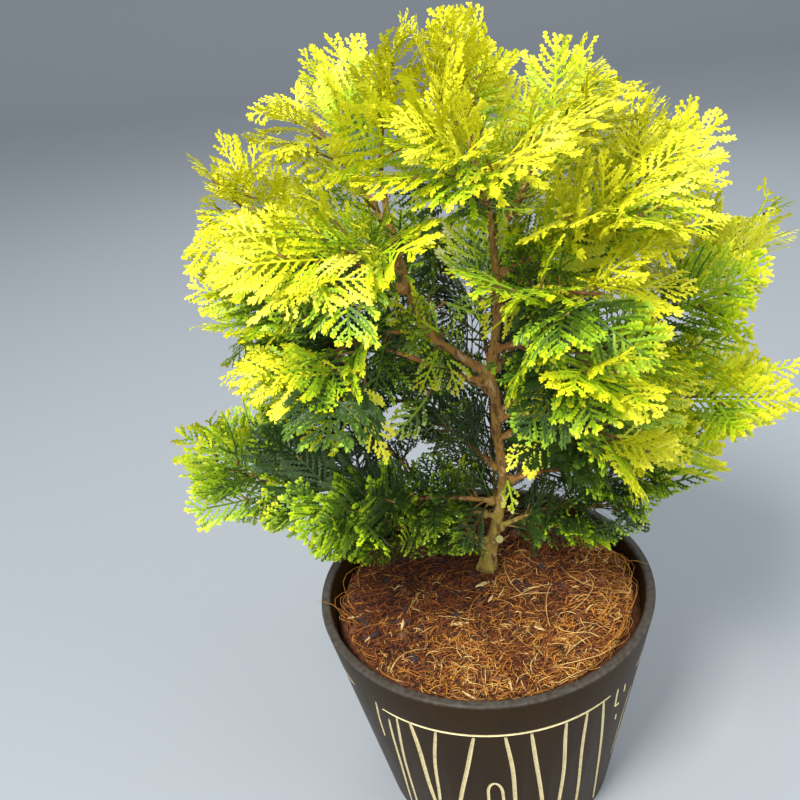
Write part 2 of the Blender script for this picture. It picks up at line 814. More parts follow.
@dataclass
class Fan:
    """The flat space of one spray: a bare twig that widens into a toothed blade.

    It has the root of its twig, the way that it grows, the way that its upper face looks, its
    length, and how many teeth each side has.
    """

    root: Vector
    along: Vector
    face: Vector
    length: float
    teeth: int = FAN_TEETH

    def __post_init__(self) -> None:
        """Squares the face to the way that it grows, and finds its side."""
        self.along = self.along.normalized()
        self.face = (self.face - self.along * self.face.dot(self.along)).normalized()
        self.side = self.face.cross(self.along)

    def place(self, share: float, across: float = 0.0, rise: float = 0.0) -> Vector:
        """A point at a share of the blade's length, to its side and above it; its tip hangs."""
        step = self.along * (share * self.length) + self.side * across
        return self.root + step + self.face * (rise - FAN_DROOP * self.length * max(0.0, share) ** 2)

    def ring(self, share: float, half: float, across: float) -> list[Vector]:
        """The points above, below and beside the middle at a share of the length."""
        upright = [self.place(share, 0.0, half), self.place(share, 0.0, -half)]
        return upright + [self.place(share, -across), self.place(share, across)]

    def half_width(self, share: float) -> float:
        """Half the blade's width at a share of its length.

        Args:
            share: The share.

        Returns:
            The half width.
        """
        if share < WIDEST_AT:
            phase = ROOT_SWELL + (1.0 - ROOT_SWELL) * share / WIDEST_AT
        else:
            phase = 1.0 + (share - WIDEST_AT) / (TIP_BLUNT - WIDEST_AT)
        return 0.5 * FAN_WIDTH * self.length * math.sin(0.5 * math.pi * phase)

    def shape(self, extra: float = 0.0) -> tuple[list, list]:
        """Points and faces of the closed blade.

        Args:
            extra: How much it is thickened all round.

        Returns:
            The points and the faces.
        """
        half = 0.5 * FAN_THICKNESS + extra
        twig = TWIG_RADIUS + extra
        points = self.ring(-FAN_SUNK * TWIG_RADIUS / self.length, twig, twig)
        step = (LAST_NOTCH - FAN_BARE) / self.teeth
        shares = [FAN_BARE + step * i for i in range(self.teeth + 1)]
        for share in shares:
            inner = twig
            if share > FAN_BARE:
                inner = max(NECK * twig, (1.0 - NOTCH_DEPTH) * self.half_width(share))
            points += self.ring(share, half, inner)
        tips = len(points)
        for start, end in zip(shares, shares[1:]):
            middle = 0.5 * (start + end)
            width = self.half_width(middle) + extra
            ahead = middle + width * math.tan(TOOTH_SWEEP) / self.length
            points += [self.place(ahead, -width), self.place(ahead, width)]
        points.append(self.place(1.0))
        faces = [(0, 3, 1, 2), (0, 4, 7, 3), (3, 7, 5, 1), (1, 5, 6, 2), (2, 6, 4, 0)]
        for i in range(self.teeth):
            a = 4 + 4 * i
            b = a + 4
            left = tips + 2 * i
            right = left + 1
            faces += [(a, b, b + 3, right, a + 3), (a + 3, right, b + 3, b + 1, a + 1)]
            faces += [(a + 1, b + 1, b + 2, left, a + 2), (a + 2, left, b + 2, b, a)]
        end = 4 + 4 * self.teeth
        tip = len(points) - 1
        faces += [(end, tip, end + 3), (end + 3, tip, end + 1)]
        return points, faces + [(end + 1, tip, end + 2), (end + 2, tip, end)]


def branch(
    root: Vector, along: Vector, face: Vector, away: Vector, turns: Triple, lift: float, length: float
) -> Fan:
    """A fan that leaves a stem to one side.

    Args:
        root: Where it leaves.
        along: The stem's direction.
        face: The stem's upper side.
        away: The side that it leaves to.
        turns: How far it turns away, rises and rolls, in degrees.
        lift: How much further it points up.
        length: How long it is.

    Returns:
        The fan.
    """
    lean, rise, roll = (math.radians(turn) for turn in turns)
    heading = along * math.cos(lean) + away * math.sin(lean)
    heading = heading * math.cos(rise) + face * math.sin(rise) + UP * lift
    facing = face * math.cos(roll) + face.cross(along) * math.sin(roll)
    return Fan(root, heading, facing, length)


@dataclass
class Mass:
    """One mass of foliage: a stem that goes on from its bough, with fans on both sides.

    It has the share of its route that is bough, the fans on each side, how much lighter it is seen,
    and the seed of its draws.
    """

    name: str
    route: Route
    share: float
    pairs: int
    light: float
    seed: int
    fans: list[Fan] = field(default_factory=list)

    def __post_init__(self) -> None:
        """Sets its stem, thickened by the clearance, from just beyond the bough's tip."""
        route = self.route
        first = self.share + GAP / (route.end - route.start).length if self.share else 0.0
        middle = [route.at(t)[:] for t in np.linspace(first, STEM_SHARE, STEM_POINTS)]
        radii = np.linspace(STEM_RADIUS, STEM_TIP_RADIUS, STEM_POINTS) + CLEARANCE
        points, faces = tube_grid(np.array([middle]), radii[None], STEM_SIDES)
        self.trees = [tree_of(points[0], faces)]

    def facing(self, along: Vector) -> Vector:
        """The upper face of a flat frond that grows this way: up, and outwards where it is steep."""
        wanted = UP * FACE_UP + Vector((along.x, along.y, 0.0)).normalized() * FACE_OUT
        return (wanted - along * wanted.dot(along)).normalized()

    def distance(self, place: Vector) -> float:
        """Distance from a place to the foliage's middle line, from its first leaf to its tip."""
        steps = [self.share + (1 - self.share) * i / 4 for i in range(5)]
        return min((self.route.at(t) - place).length for t in steps)

    def beyond(self, place: Vector) -> bool:
        """Whether a place is outside the crown and also further out than this mass's own tip.

        Args:
            place: The place.

        Returns:
            Whether it is.
        """
        away = place - CROWN_CENTRE
        if away.length < (self.route.end - CROWN_CENTRE).length:
            return False
        widest = CROWN_RADIUS + SKIRT_TAPER * away.z
        if away.z > 0:
            widest = math.sqrt(max(0.0, CROWN_RADIUS**2 - away.z**2))
        return math.hypot(away.x, away.y) > widest

    def fits(self, fan: Fan) -> bool:
        """Whether a fan is clear of every limb, stem and fan, and keeps to its mass's space.

        Args:
            fan: The fan, which joins the mass's search trees where it fits.

        Returns:
            Whether it fits.
        """
        points, faces = fan.shape(CLEARANCE)
        if min(point.z for point in points) < LOWEST_LEAF:
            return False
        for place in (fan.place(share) for share in SPACE_TESTS):
            own = self.distance(place)
            if any(own >= SPACE_OVERLAP * other.distance(place) for other in self.others):
                return False
        if any(self.beyond(point) for point in points):
            return False
        tree = tree_of(points, faces)
        near = self.limbs + self.trees[1:] + [tree for other in self.others for tree in other.trees]
        if any(tree.overlap(other) for other in near):
            return False
        self.trees.append(tree)
        return True

    def grow(self, limbs: list[BVHTree], others: list["Mass"]) -> None:
        """Sets the fans along the stem, each tried a few times before it is skipped.

        Args:
            limbs: The limbs' search trees.
            others: The other masses.
        """
        self.limbs = limbs
        self.others = others
        draw = random.Random(self.seed)
        nodes = [(1.0, 0.0, 0)]
        for pair in range(self.pairs):
            for side in (-1, 1):
                share = (pair + 0.5 + 0.25 * side) / self.pairs
                nodes.append((share, ROOT_ANGLE + (TIP_ANGLE - ROOT_ANGLE) * share, side))
        for share, angle, side in nodes:
            t = self.share + (STEM_SHARE - self.share) * share
            root, along = self.route.at(t), self.route.along(t)
            face = self.facing(along)
            wanted = FAN_LENGTH * (1.0 - TAPER_ALONG * share)
            if side == 0:
                wanted = (self.route.end - root).length
            for attempt in range(TRIES):
                shrink = 1.0 - SHRINK * attempt / TRIES
                length = wanted * shrink * draw.uniform(1 - SIZE_SPREAD, 1 + SIZE_SPREAD)
                turn = angle + (draw.uniform(-WOBBLE, WOBBLE) if attempt else 0.0)
                tilt = draw.uniform(-OUT_OF_PLANE, OUT_OF_PLANE)
                turns = (turn, tilt, draw.uniform(-ROLL, ROLL))
                away = face.cross(along) * side
                lift = LIFT * abs(side)
                fan = branch(root, along, face, away, turns, lift, max(FAN_SHORTEST, length))
                fan.teeth = FAN_TEETH if side else END_FAN_TEETH
                if self.fits(fan):
                    self.fans.append(fan)
                    break


class Growth:
    """The whole plant's limbs and masses, grown by the rule of the solids."""

    def __init__(self) -> None:
        """Grows the limbs, then the fans of every mass."""
        self.limbs = {
            TRUNK_NAME: spline_points(TRUNK, LIMB_SPACING),
            LEADER_NAME: spline_points(LEADER, LIMB_SPACING),
        }
        routes = []
        for name, parent, root, azimuth, reach, top, bow, pairs, light in BOUGHS:
            start = at_height(self.limbs[parent], root * MM).xyz
            end = Vector((start.x, start.y, 0.0)) + outward(azimuth) * (reach * MM)
            end.z = top * MM
            routes.append((name, Route(start, end, bow * MM), BOUGH_SHARE, pairs, light))
        for name, parent, tip in LEADING_TIPS:
            before, end = (place.xyz for place in self.limbs[parent][-2:])
            start = end + (end - before).normalized() * GAP
            routes.append((name, Route(start, Vector(tip) * MM, 0.0), 0.0, LEADING_FANS, 0.0))
        self.masses = [Mass(*row, SEED + number) for number, row in enumerate(routes)]
        self.trees = []
        for name in self.limb_names():
            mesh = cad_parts[name].data
            points = [vertex.co for vertex in mesh.vertices]
            self.trees.append(tree_of(points, [face.vertices for face in mesh.polygons]))
        for mass in self.masses:
            mass.grow(self.trees, [other for other in self.masses if other is not mass])

    def limb_names(self) -> list[str]:
        """The names of the solids that are wood."""
        return [*self.limbs, *("bough_" + row[0] for row in BOUGHS)]


# Bark


@dataclass
class Limbs:
    """The trunk, the second leader and the boughs, as one skin of bark."""

    growth: Growth
    voxel: float = 0.5 * MM
    bough_steps: int = 7
    trunk_slim: float = 0.75
    bough_slim: float = 0.72
    collar_swell: float = 1.15
    lumps: int = 20
    lump_radius: float = 1.15 * MM
    toes: int = 6
    toe_reach: float = 6.6 * MM
    toe_radius: float = 1.4 * MM
    lump_heights: Range = (112.0 * MM, 290.0 * MM)
    stub_height: float = 125.0 * MM
    stub_azimuth: float = 290.0
    stub_length: float = 8.2 * MM
    stub_radius: float = 1.7 * MM
    stub_rise: float = 0.5
    # Size of the bark's lumps, how high they stand, and how much longer than wide they are.
    reliefs: tuple[Triple, ...] = ((2.6 * MM, 1.1 * MM, 2.2), (1.0 * MM, 0.5 * MM, 1.6))
    # How far outside the stems the boughs' own colour begins, and over what distance it comes in.
    bough_from: float = 1.5 * MM
    bough_fade: float = 3.0 * MM
    seed: int = 5
    pieces: list[Piece] = field(default_factory=list)

    def lump(self, place: Vector, radius: float, stretch: float) -> None:
        """Adds a rounded swelling.

        Args:
            place: Its middle.
            radius: Its level radius.
            stretch: How much taller than wide it is.
        """
        size = {"radius": radius, "location": place, "scale": (1, 1, stretch)}
        ball = bpy.ops.mesh.primitive_uv_sphere_add
        self.pieces.append(primitive(ball, "lump", segments=12, ring_count=8, **size))

    def add_limbs(self) -> None:
        """Adds the trunk, the leader, the boughs with their collars, and the pruned stem."""
        for line in self.growth.limbs.values():
            self.pieces.append(rod([knot(place, place.w * self.trunk_slim) for place in line], 6))
        radii = np.linspace(BOUGH_THICKEST, BOUGH_THINNEST, self.bough_steps) * self.bough_slim
        for mass in self.growth.masses:
            if mass.share:
                shares = np.linspace(0.0, mass.share, self.bough_steps)
                line = [knot(mass.route.at(t), radius) for t, radius in zip(shares, radii)]
                self.pieces.append(rod(line, 4))
                self.lump(mass.route.at(0.05), BOUGH_THICKEST * self.collar_swell, 1.2)
        ends = (self.stub_start, self.stub_start + self.stub_way * self.stub_length)
        self.pieces.append(rod([knot(end, self.stub_radius) for end in ends], 6))

    def add_swellings(self) -> None:
        """Adds the trunk's lumps and the toes of its flared foot."""
        draw = random.Random(self.seed)
        trunk = self.growth.limbs[TRUNK_NAME]
        for _ in range(self.lumps):
            place = at_height(trunk, draw.uniform(*self.lump_heights))
            around = outward(draw.uniform(0.0, 360.0)) * place.w * 0.6
            size = self.lump_radius * draw.uniform(0.6, 1.15)
            self.lump(place.xyz + around, size, draw.uniform(1.0, 1.9))
        foot = trunk[0].xyz
        for toe in range(self.toes):
            way = outward(360.0 * (toe + draw.uniform(-0.25, 0.25)) / self.toes)
            top = foot + UP * draw.uniform(8.0, 14.0) * MM + way * 1.5 * MM
            low = foot + way * self.toe_reach * draw.uniform(0.85, 1.05) - UP * 0.2 * MM
            bend = top.lerp(low, 0.55) - way * 1.0 * MM
            radii = (1.2 * MM, self.toe_radius, self.toe_radius * 0.7)
            self.pieces.append(rod([knot(*pair) for pair in zip((top, bend, low), radii)], 3))

    def add_relief(self) -> None:
        """Gives the skin a lumpy relief that runs lengthwise, coarse and then fine."""
        guide = linked("relief_guide", None)
        texture = bpy.data.textures.new("bark_relief", "CLOUDS")
        texture.noise_scale = 1.0
        texture.noise_depth = 2
        lie = {"texture": texture, "texture_coords": "OBJECT", "texture_coords_object": guide}
        for size, depth, stretch in self.reliefs:
            guide.scale = (size, size, size * stretch)
            bpy.context.view_layer.update()
            modify(self.skin, "DISPLACE", **lie, strength=depth, mid_level=0.5)
        bpy.data.objects.remove(guide)

    def mark_boughs(self) -> None:
        """Writes on each point how much it belongs to a bough, for the bark's colour."""
        points = np.array([vertex.co[:] for vertex in self.skin.data.vertices])
        nearest = np.full(len(points), 1.0)
        for line in self.growth.limbs.values():
            for low, high in zip(line, line[1:]):
                start = np.array(low.xyz)
                step = np.array(high.xyz) - start
                share = np.clip((points - start) @ step / (step @ step), 0.0, 1.0)
                away = np.linalg.norm(points - start - share[:, None] * step, axis=1)
                nearest = np.minimum(nearest, away - low.w)
        tone = np.clip((nearest - self.bough_from) / self.bough_fade, 0.0, 1.0)
        layer = self.skin.data.attributes.new("bough", "FLOAT", "POINT")
        layer.data.foreach_set("value", tone.astype(np.float32))

    def build(self) -> None:
        """Builds and dresses the skin of bark and the stub's cut end."""
        self.stub_start = at_height(self.growth.limbs[TRUNK_NAME], self.stub_height).xyz
        self.stub_way = (outward(self.stub_azimuth) + UP * self.stub_rise).normalized()
        self.add_limbs()
        self.add_swellings()
        only(*self.pieces)
        bpy.ops.object.join()
        self.skin = bpy.context.object
        self.skin.name = "bark_skin"
        modify(self.skin, "REMESH", mode="VOXEL", voxel_size=self.voxel)
        modify(self.skin, "SMOOTH", factor=0.5, iterations=2)
        self.add_relief()
        self.mark_boughs()
        dress(self.skin, BarkFinish().make(), 180.0)
        ride(self.skin, self.growth.limb_names())
        self.build_cut_end()

    def build_cut_end(self) -> None:
        """Builds the pale sawn face of the pruned stem."""
        way = self.stub_way
        size = {"vertices": 28, "radius": self.stub_radius * 1.04, "depth": 0.9 * MM}
        place = self.stub_start + way * (self.stub_length + 0.25 * MM)
        turn = way.to_track_quat("Z", "Y").to_euler()
        disc = bpy.ops.mesh.primitive_cylinder_add
        end = primitive(disc, "stub_cut_end", location=place, rotation=turn, **size)
        select(end, "FACE", lambda middle, normal: normal.dot(way) > 0.9)
        bpy.ops.mesh.inset(thickness=0.35 * MM)
        bpy.ops.mesh.inset(thickness=0.5 * MM)
        only()
        modify(end, "BEVEL", width=0.15 * MM, segments=2)
        dress(end, CUT_WOOD.make(), 40.0)
        ride(end)


# Sprays


@dataclass(frozen=True)
class SprayForm:
    """The proportions of one kind of spray, in metres and degrees."""

    pinna_step: float = 1.7 * MM
    finger_step: float = 1.75 * MM
    finger_length: float = 2.4 * MM
    finger_width: float = 0.92 * MM
    rib_width: float = 0.85 * MM
    axis_width: float = 1.2 * MM
    reach: float = 0.47
    cup: float = 0.24
    louvre: float = 14.0
    rib_steps: int = 4
    forked: float = 0.40
    pale: float = 0.0


MAIN_FORM = SprayForm()
SMALL_FORM = SprayForm(pinna_step=1.75 * MM, finger_length=2.2 * MM, rib_steps=3, forked=0.35)
NARROW_FORM = SprayForm(reach=0.30)
COMB_FORM = SprayForm(1.9 * MM, 2.0 * MM, 1.5 * MM, 0.65 * MM, 0.62 * MM, 0.9 * MM)
COMB_FORM = replace(COMB_FORM, louvre=28.0, rib_steps=3, forked=0.0, pale=0.06)
PALE_FORM = SprayForm(pinna_step=2.0 * MM, rib_steps=3, pale=0.45)


@dataclass(frozen=True)
class Patch:
    """A stretch of the crown as the first view sees it: an ellipse on the upright plane y = 0.

    Its middle along x and z and its half sizes are in mm. An opening is a patch without light, and
    one marked front is only open in front of the trunk.
    """

    x: float
    z: float
    wide: float
    high: float
    light: float = 0.0
    front: bool = False

    def depth(self, places: Array) -> Array:
        """How deep in it the first view sees places: one at its middle, below nought outside.

        Args:
            places: Rows of x, y and z.

        Returns:
            The depth of each.
        """
        reach = -VIEWPOINT[1] / (places[..., 1] - VIEWPOINT[1])
        seen = VIEWPOINT + (places - VIEWPOINT) * reach[..., None]
        across = (seen[..., 0] / MM - self.x) / self.wide
        return 1.0 - across**2 - ((seen[..., 2] / MM - self.z) / self.high) ** 2


OPENING_ROWS = (
    (3, 233, 3.5, 8.5),
    (42, 216, 3, 6),
    (-50, 179, 3, 4),
    (-53, 194, 2.5, 3),
    (34, 164, 3.5, 2.5),
    (54, 143, 6, 5.5),
    (6, 166, 2, 4),
    (24, 349, 9, 13),
    (71, 336, 17, 15.5),
    (-115, 216, 11, 12),
    (-73, 102, 35, 23.5),
    (-111, 129, 23, 21),
    (42, 105, 15.5, 18.5),
    (71, 114, 15, 16.5),
    (94, 134, 19, 17),
    (124, 228, 12, 18),
    (107, 275, 8, 5),
    (133, 167, 18, 16.5),
    (-64, 342, 14.5, 12),
    (-103, 302, 11, 10.5),
    (6, 370, 60, 18),
    (45, 352, 15, 13.5),
    (-111, 292, 14.5, 16.5),
    (126, 282, 14, 6.5),
    (-21, 104, 37, 21),
    (14, 268, 2, 17.5, 0, True),
    (-22, 262, 2.5, 19, 0, True),
    (12, 232, 2.5, 21, 0, True),
    (11, 191, 3, 20.5, 0, True),
)
# Where the sun falls on the crown, and where it lies in shade.
LIGHT_ROWS = (
    (-64, 311, 36, 30, 0.3),
    (-2, 325, 31, 23.5, 0.46),
    (50, 300, 38.5, 27, 0.34),
    (72, 253, 41, 19.5, 0.4),
    (35, 278, 29, 18, 0.26),
    (-16, 286, 13, 12.5, -0.2),
    (-61, 185, 36, 24, -1.1),
    (-47, 237, 24, 12.5, -0.4),
    (-20, 232, 14, 17.5, 0.2),
    (35, 234, 27, 12.5, -0.45),
    (32, 174, 23, 28.5, -0.75),
    (-118, 185, 21.5, 19.5, 0.05),
    (104, 265, 21.5, 18.5, 0.1),
    (109, 198, 31.5, 24.5, 0.14),
    (80, 175, 24.5, 19, 0.34),
)
OPENINGS = [Patch(*row) for row in OPENING_ROWS]
LIT_PATCHES = [Patch(*row) for row in LIGHT_ROWS]
VIEWPOINT = np.array([0.0, -314.2, 368.3]) * MM
SUNWARD = Vector((-0.25, -0.65, 0.72))
TRUNK_DEPTH = 5.0 * MM
# A fan's first points, those of its twig.
TWIG_POINTS = 8


def in_openings(places: Array) -> Array:
    """Which places, as rows of x, y and z, the first view sees in an opening."""
    nearer = places[..., 1] < TRUNK_DEPTH
    return np.any([(gap.depth(places) > 0.0) & (nearer | (not gap.front)) for gap in OPENINGS], axis=0)


@dataclass
class Fingers:
    """Many fingers of leaf at once, as arrays in one spray's own frame."""

    root: Array
    way: Array
    across: Array
    normal: Array
    size: Array
    wide: Array
    tilt: Array
    light: Array
    hand: Array

    # A finger's points, as shares of its length, its width, and its width again for height.
    SHAPE = np.array(
        [(0, -0.34, 0), (0, 0.34, 0), (0.74, -0.5, -0.10), (0.74, 0.5, -0.10), (1, 0, -0.18)]
    )
    FACES = np.array([(0, 1, 3), (0, 3, 2), (2, 3, 4)])
    LOBE_ROOT = 0.42
    LOBE_LENGTH = 0.56
    LOBE_WIDTH = 0.82
    LOBE_LEAN = math.radians(43.0)

    def picked(self, chosen: Array) -> "Fingers":
        """The chosen ones of the fingers."""
        return Fingers(**{each.name: getattr(self, each.name)[chosen] for each in fields(self)})

    def lobes(self, turn: float) -> "Fingers":
        """The side lobes that fork every finger on one side.

        Args:
            turn: The side, minus one or one.

        Returns:
            The lobes.
        """
        ahead, beside = math.cos(self.LOBE_LEAN), turn * math.sin(self.LOBE_LEAN)
        return replace(
            self,
            root=self.root + self.way * (self.LOBE_ROOT * self.size)[:, None],
            way=self.way * ahead + self.across * beside,
            across=self.across * ahead - self.way * beside,
            size=self.size * self.LOBE_LENGTH,
            wide=self.wide * self.LOBE_WIDTH,
            light=self.light + 0.04,
        )

    def points(self) -> Array:
        """The points of every finger.

        Returns:
            Them, as fingers by points by three.
        """
        shape = self.SHAPE
        found = self.root[:, None] + self.way[:, None] * (shape[:, :1] * self.size[:, None, None])
        found = found + self.across[:, None] * (shape[:, 1:2] * self.wide[:, None, None])
        rise = shape[:, 2] * self.wide[:, None] + shape[:, 0] * (self.tilt * self.size)[:, None]
        return found + self.normal[:, None] * rise[:, :, None]


@dataclass
class Spray:
    """One spray to be leafed: its fan, its form, its light and the seed of its own draws.

    In its own frame, along, across and up, its side shoots lie flat. Each has the place where it
    starts on the axis, its side, its reach, its first and last angle, how it is lifted out of the
    blade, its louvre, which is how far its front edge is rolled down, and its own shade.
    """

    fan: Fan
    form: SprayForm
    tone: float
    seed: int

    # Where the shoots begin and end on the axis, and how light grows along a shoot and the spray.
    BARE = 0.15
    LAST = 0.95
    PALE_LIGHT = 9.0
    ALONG_SHOOT = 0.42
    ALONG_SPRAY = 0.40
    STRIP_SHADE = 0.12
    AXIS_STEPS = 8
    # The shares of a shoot and of the spray at which the light is the spray's own.
    SHOOT_MIDDLE = 0.62
    SPRAY_MIDDLE = 0.42
    # Fingers beyond this share of a shoot may fork, and how often each side then has its lobe.
    FORKED_FROM = 0.5
    LOBED = 0.75

    def draw_shoots(self) -> None:
        """Draws the side shoots, and the short one that ends the spray."""
        form, draw, length = self.form, self.draw, self.fan.length
        count = max(4, int((self.LAST - self.BARE) * length / form.pinna_step))
        order = np.arange(count)
        part = (order + draw.uniform(-0.2, 0.2, count)) / count
        start = self.BARE + (self.LAST - self.BARE) * part
        rise = np.clip(0.78 + 0.22 * (start - self.BARE) / 0.14, 0.0, 1.0)
        fall = np.clip((self.LAST + 0.05 - start) / 0.70, 0.0, 1.0) ** 0.85
        reach = length * form.reach * np.minimum(rise, fall + 0.04)
        reach = reach * np.clip(draw.normal(1.0, 0.12, count), 0.70, 1.2)
        reach = reach * (0.84 + 0.30 * np.sin(order * math.pi / 8 + draw.uniform(0.0, 3.0)) ** 2)
        self.louvre = np.append(np.radians(draw.normal(form.louvre, 9.0, count)), 0.0)
        self.start = np.append(start, 0.80) * length
        self.sign = np.append(np.where(order % 2, 1.0, -1.0), 1.0)
        self.reach = np.append(reach, 0.20 * length)
        self.first = np.radians(np.append(draw.normal(51.0, 4.0, count), 3.0))
        self.last = np.radians(np.append(draw.normal(29.0, 5.0, count), -3.0))
        self.lift = np.tan(np.radians(draw.normal(2.0, 6.0, count + 1)))
        self.shade = draw.normal(0.0, 0.05, count + 1)

    def draw_bend(self) -> None:
        """Draws how far the blade's edges and tip hang, and how it sways and twists."""
        low = self.fan.root.z < LOW_ROOT
        self.cup = self.form.cup * self.draw.uniform(0.5, 1.2) * (0.4 if low else 1.0)
        self.droop = self.draw.uniform(0.02, 0.05) if low else self.draw.uniform(0.06, 0.15)
        self.sway = self.draw.normal(0.0, 0.07)
        self.twist = self.draw.normal(0.0, 0.35)

    def world(self, points: Array) -> Array:
        """Bends points of the spray's own frame and puts them in the plant's.

        Args:
            points: Rows of along, across and up.

        Returns:
            The places.
        """
        fan = self.fan
        run, out, rise = points[..., 0], points[..., 1], points[..., 2]
        share = run / fan.length
        turn = self.twist * share
        swept = out + self.sway * fan.length * share**2
        level = rise - self.droop * fan.length * share**2
        level = level - self.cup * out**2 / (0.5 * FAN_WIDTH * fan.length)
        across = swept * np.cos(turn) - level * np.sin(turn)
        up = swept * np.sin(turn) + level * np.cos(turn)
        axes = np.array([fan.along, fan.side, fan.face])
        return np.array(fan.root) + np.stack([run, across, up], axis=-1) @ axes

    def at(self, owner: Array, share: Array) -> tuple[Array, ...]:
        """Places on the shoots, with the directions there.

        Args:
            owner: The number of the shoot of each place.
            share: The share of its length.

        Returns:
            The place, and the directions along, to the front edge and up from it.
        """
        first, reach, sign = self.first[owner], self.reach[owner], self.sign[owner]
        bend = self.last[owner] - first
        angle = first + bend * share
        run = self.start[owner] + reach * (np.sin(angle) - np.sin(first)) / bend
        out = sign * reach * (np.cos(first) - np.cos(angle)) / bend
        place = np.stack([run, out, self.lift[owner] * reach * share], axis=1)
        along = np.stack([np.cos(angle), sign * np.sin(angle), self.lift[owner]], axis=1)
        along /= np.linalg.norm(along, axis=1, keepdims=True)
        flat = np.stack([np.sin(angle), -sign * np.cos(angle), 0.0 * angle], axis=1)
        up = np.cross(along, flat) * -sign[:, None]
        roll = self.louvre[owner][:, None]
        front = flat * np.cos(roll) - up * np.sin(roll)
        return place, along, front, up * np.cos(roll) + flat * np.sin(roll)

    def leaf(self, leaves: "Leaves") -> None:
        """Leafs the spray: its side shoots and their fingers, its axis and its stalk.

        Args:
            leaves: What the leaf and wood are put with.
        """
        self.leaves = leaves
        self.draw = np.random.default_rng(self.seed)
        self.draw_shoots()
        self.draw_bend()
        every = np.arange(len(self.reach))
        for _ in range(3):
            tips = self.at(every, np.ones(len(every)))[0]
            self.reach = np.where(in_openings(self.world(tips)), 0.6, 1.0) * self.reach
        self.add_fingers()
        self.add_ribs()
        self.add_axis()

    def put(self, fingers: Fingers) -> None:
        """Deals fingers out by tint, but for those that would close an opening.

        Args:
            fingers: The fingers.
        """
        world = self.world(fingers.points())
        shown = np.where(in_openings(world[:, 4]), 0.0, fingers.hand)
        self.leaves.deal(fingers.light, world, fingers.FACES, shown)

    def add_fingers(self) -> None:
        """Adds the blunt fingers on both edges of every side shoot, and one at its tip."""
        form, draw = self.form, self.draw
        ranks = np.maximum(2, np.round(self.reach / form.finger_step).astype(int))
        sizes = 2 * ranks + 1
        owner = np.repeat(np.arange(len(ranks)), sizes)
        place = np.arange(len(owner)) - np.repeat(np.cumsum(sizes) - sizes, sizes)
        rank = ranks[owner]
        tip = place == 2 * rank
        side = np.where(place % 2, 1.0, -1.0)
        share = 0.12 + 0.84 * (place // 2 + 0.5 + 0.25 * side) / rank
        share = np.where(tip, 0.94, share)
        root, along, front, normal = self.at(owner, share)
        angle = np.radians(45.0 - 14.0 * share + draw.normal(0.0, 4.0, len(owner)))
        angle = np.where(tip, 0.0, angle)
        side = np.where(tip, 1.0, side)
        swell = 0.34 + 0.66 * np.clip((share - 0.1) / 0.6, 0.0, 1.0)
        swell = swell * np.sqrt(self.reach[owner] / (14.0 * MM)).clip(0.6, 1.1)
        light = self.tone + self.ALONG_SHOOT * (share - self.SHOOT_MIDDLE)
        light = light + self.ALONG_SPRAY * (self.start[owner] / self.fan.length - self.SPRAY_MIDDLE)
        light = light + self.shade[owner] + draw.normal(0.0, 0.045, len(owner))
        pale = draw.random(len(owner)) < form.pale * share
        fingers = Fingers(
            root=root,
            way=along * np.cos(angle)[:, None] + front * (side * np.sin(angle))[:, None],
            across=front * (side * np.cos(angle))[:, None] - along * np.sin(angle)[:, None],
            normal=normal,
            size=form.finger_length * swell * draw.uniform(0.85, 1.2, len(owner)),
            wide=form.finger_width * draw.uniform(0.88, 1.12, len(owner)),
            tilt=draw.normal(-0.10, 0.16, len(owner)),
            light=np.where(pale, self.PALE_LIGHT, light),
            hand=self.sign[owner] * side,
        )
        self.put(fingers)
        forked = (draw.random(len(owner)) < form.forked) & (share > self.FORKED_FROM)
        for turn in (-1.0, 1.0):
            chosen = forked & (draw.random(len(owner)) < self.LOBED)
            self.put(fingers.picked(chosen).lobes(turn))

    def add_ribs(self) -> None:
        """Adds the flat rib of every side shoot."""
        steps = self.form.rib_steps
        count = len(self.reach)
        owner = np.repeat(np.arange(count), steps + 1)
        share = np.tile(np.linspace(0.0, 0.96, steps + 1), count)
        centre, _, front, normal = self.at(owner, share)
        half = (0.5 * self.form.rib_width * (1.0 - 0.35 * share))[:, None]
        lifted = centre + normal * 0.08 * MM
        points = np.stack([lifted - front * half, lifted + front * half], axis=1)
        world = self.world(points.reshape(count, (steps + 1) * 2, 3))
        light = self.tone + self.shade - self.STRIP_SHADE
        light = light + self.ALONG_SPRAY * (self.start / self.fan.length - self.SPRAY_MIDDLE)
        shown = np.where(in_openings(world[:, 2 * steps - 1]), 0.0, -self.sign)
        self.leaves.deal(light, world, np.array(strip_faces(steps, 2)), shown)

    def add_axis(self) -> None:
        """Adds the spray's own axis: a leafy ridged strip on a woody stalk."""
        steps = self.AXIS_STEPS
        length = self.fan.length
        run = np.linspace(self.BARE * 0.8, 0.86, steps + 1) * length
        half = 0.5 * self.form.axis_width * np.linspace(1.0, 0.6, steps + 1)
        flat = np.zeros(steps + 1)
        rows = [(run, half, flat), (run, flat, half * 0.6 + 0.12 * MM), (run, -half, flat)]
        points = np.stack([np.stack(row, axis=1) for row in rows], axis=1).reshape(1, -1, 3)
        light = np.array([self.tone - self.STRIP_SHADE])
        self.leaves.deal(light, self.world(points), np.array(strip_faces(steps, 3)), np.ones(1))
        stations = np.linspace(-0.4 * MM / length, self.BARE + 0.16, 4) * length
        middle = np.stack([stations, 0 * stations, 0 * stations - 0.25 * MM], axis=1)[None]
        radii = np.linspace(0.62, 0.36, 4)[None] * MM
        self.leaves.stalks.add(*tube_grid(self.world(middle), radii, 5))


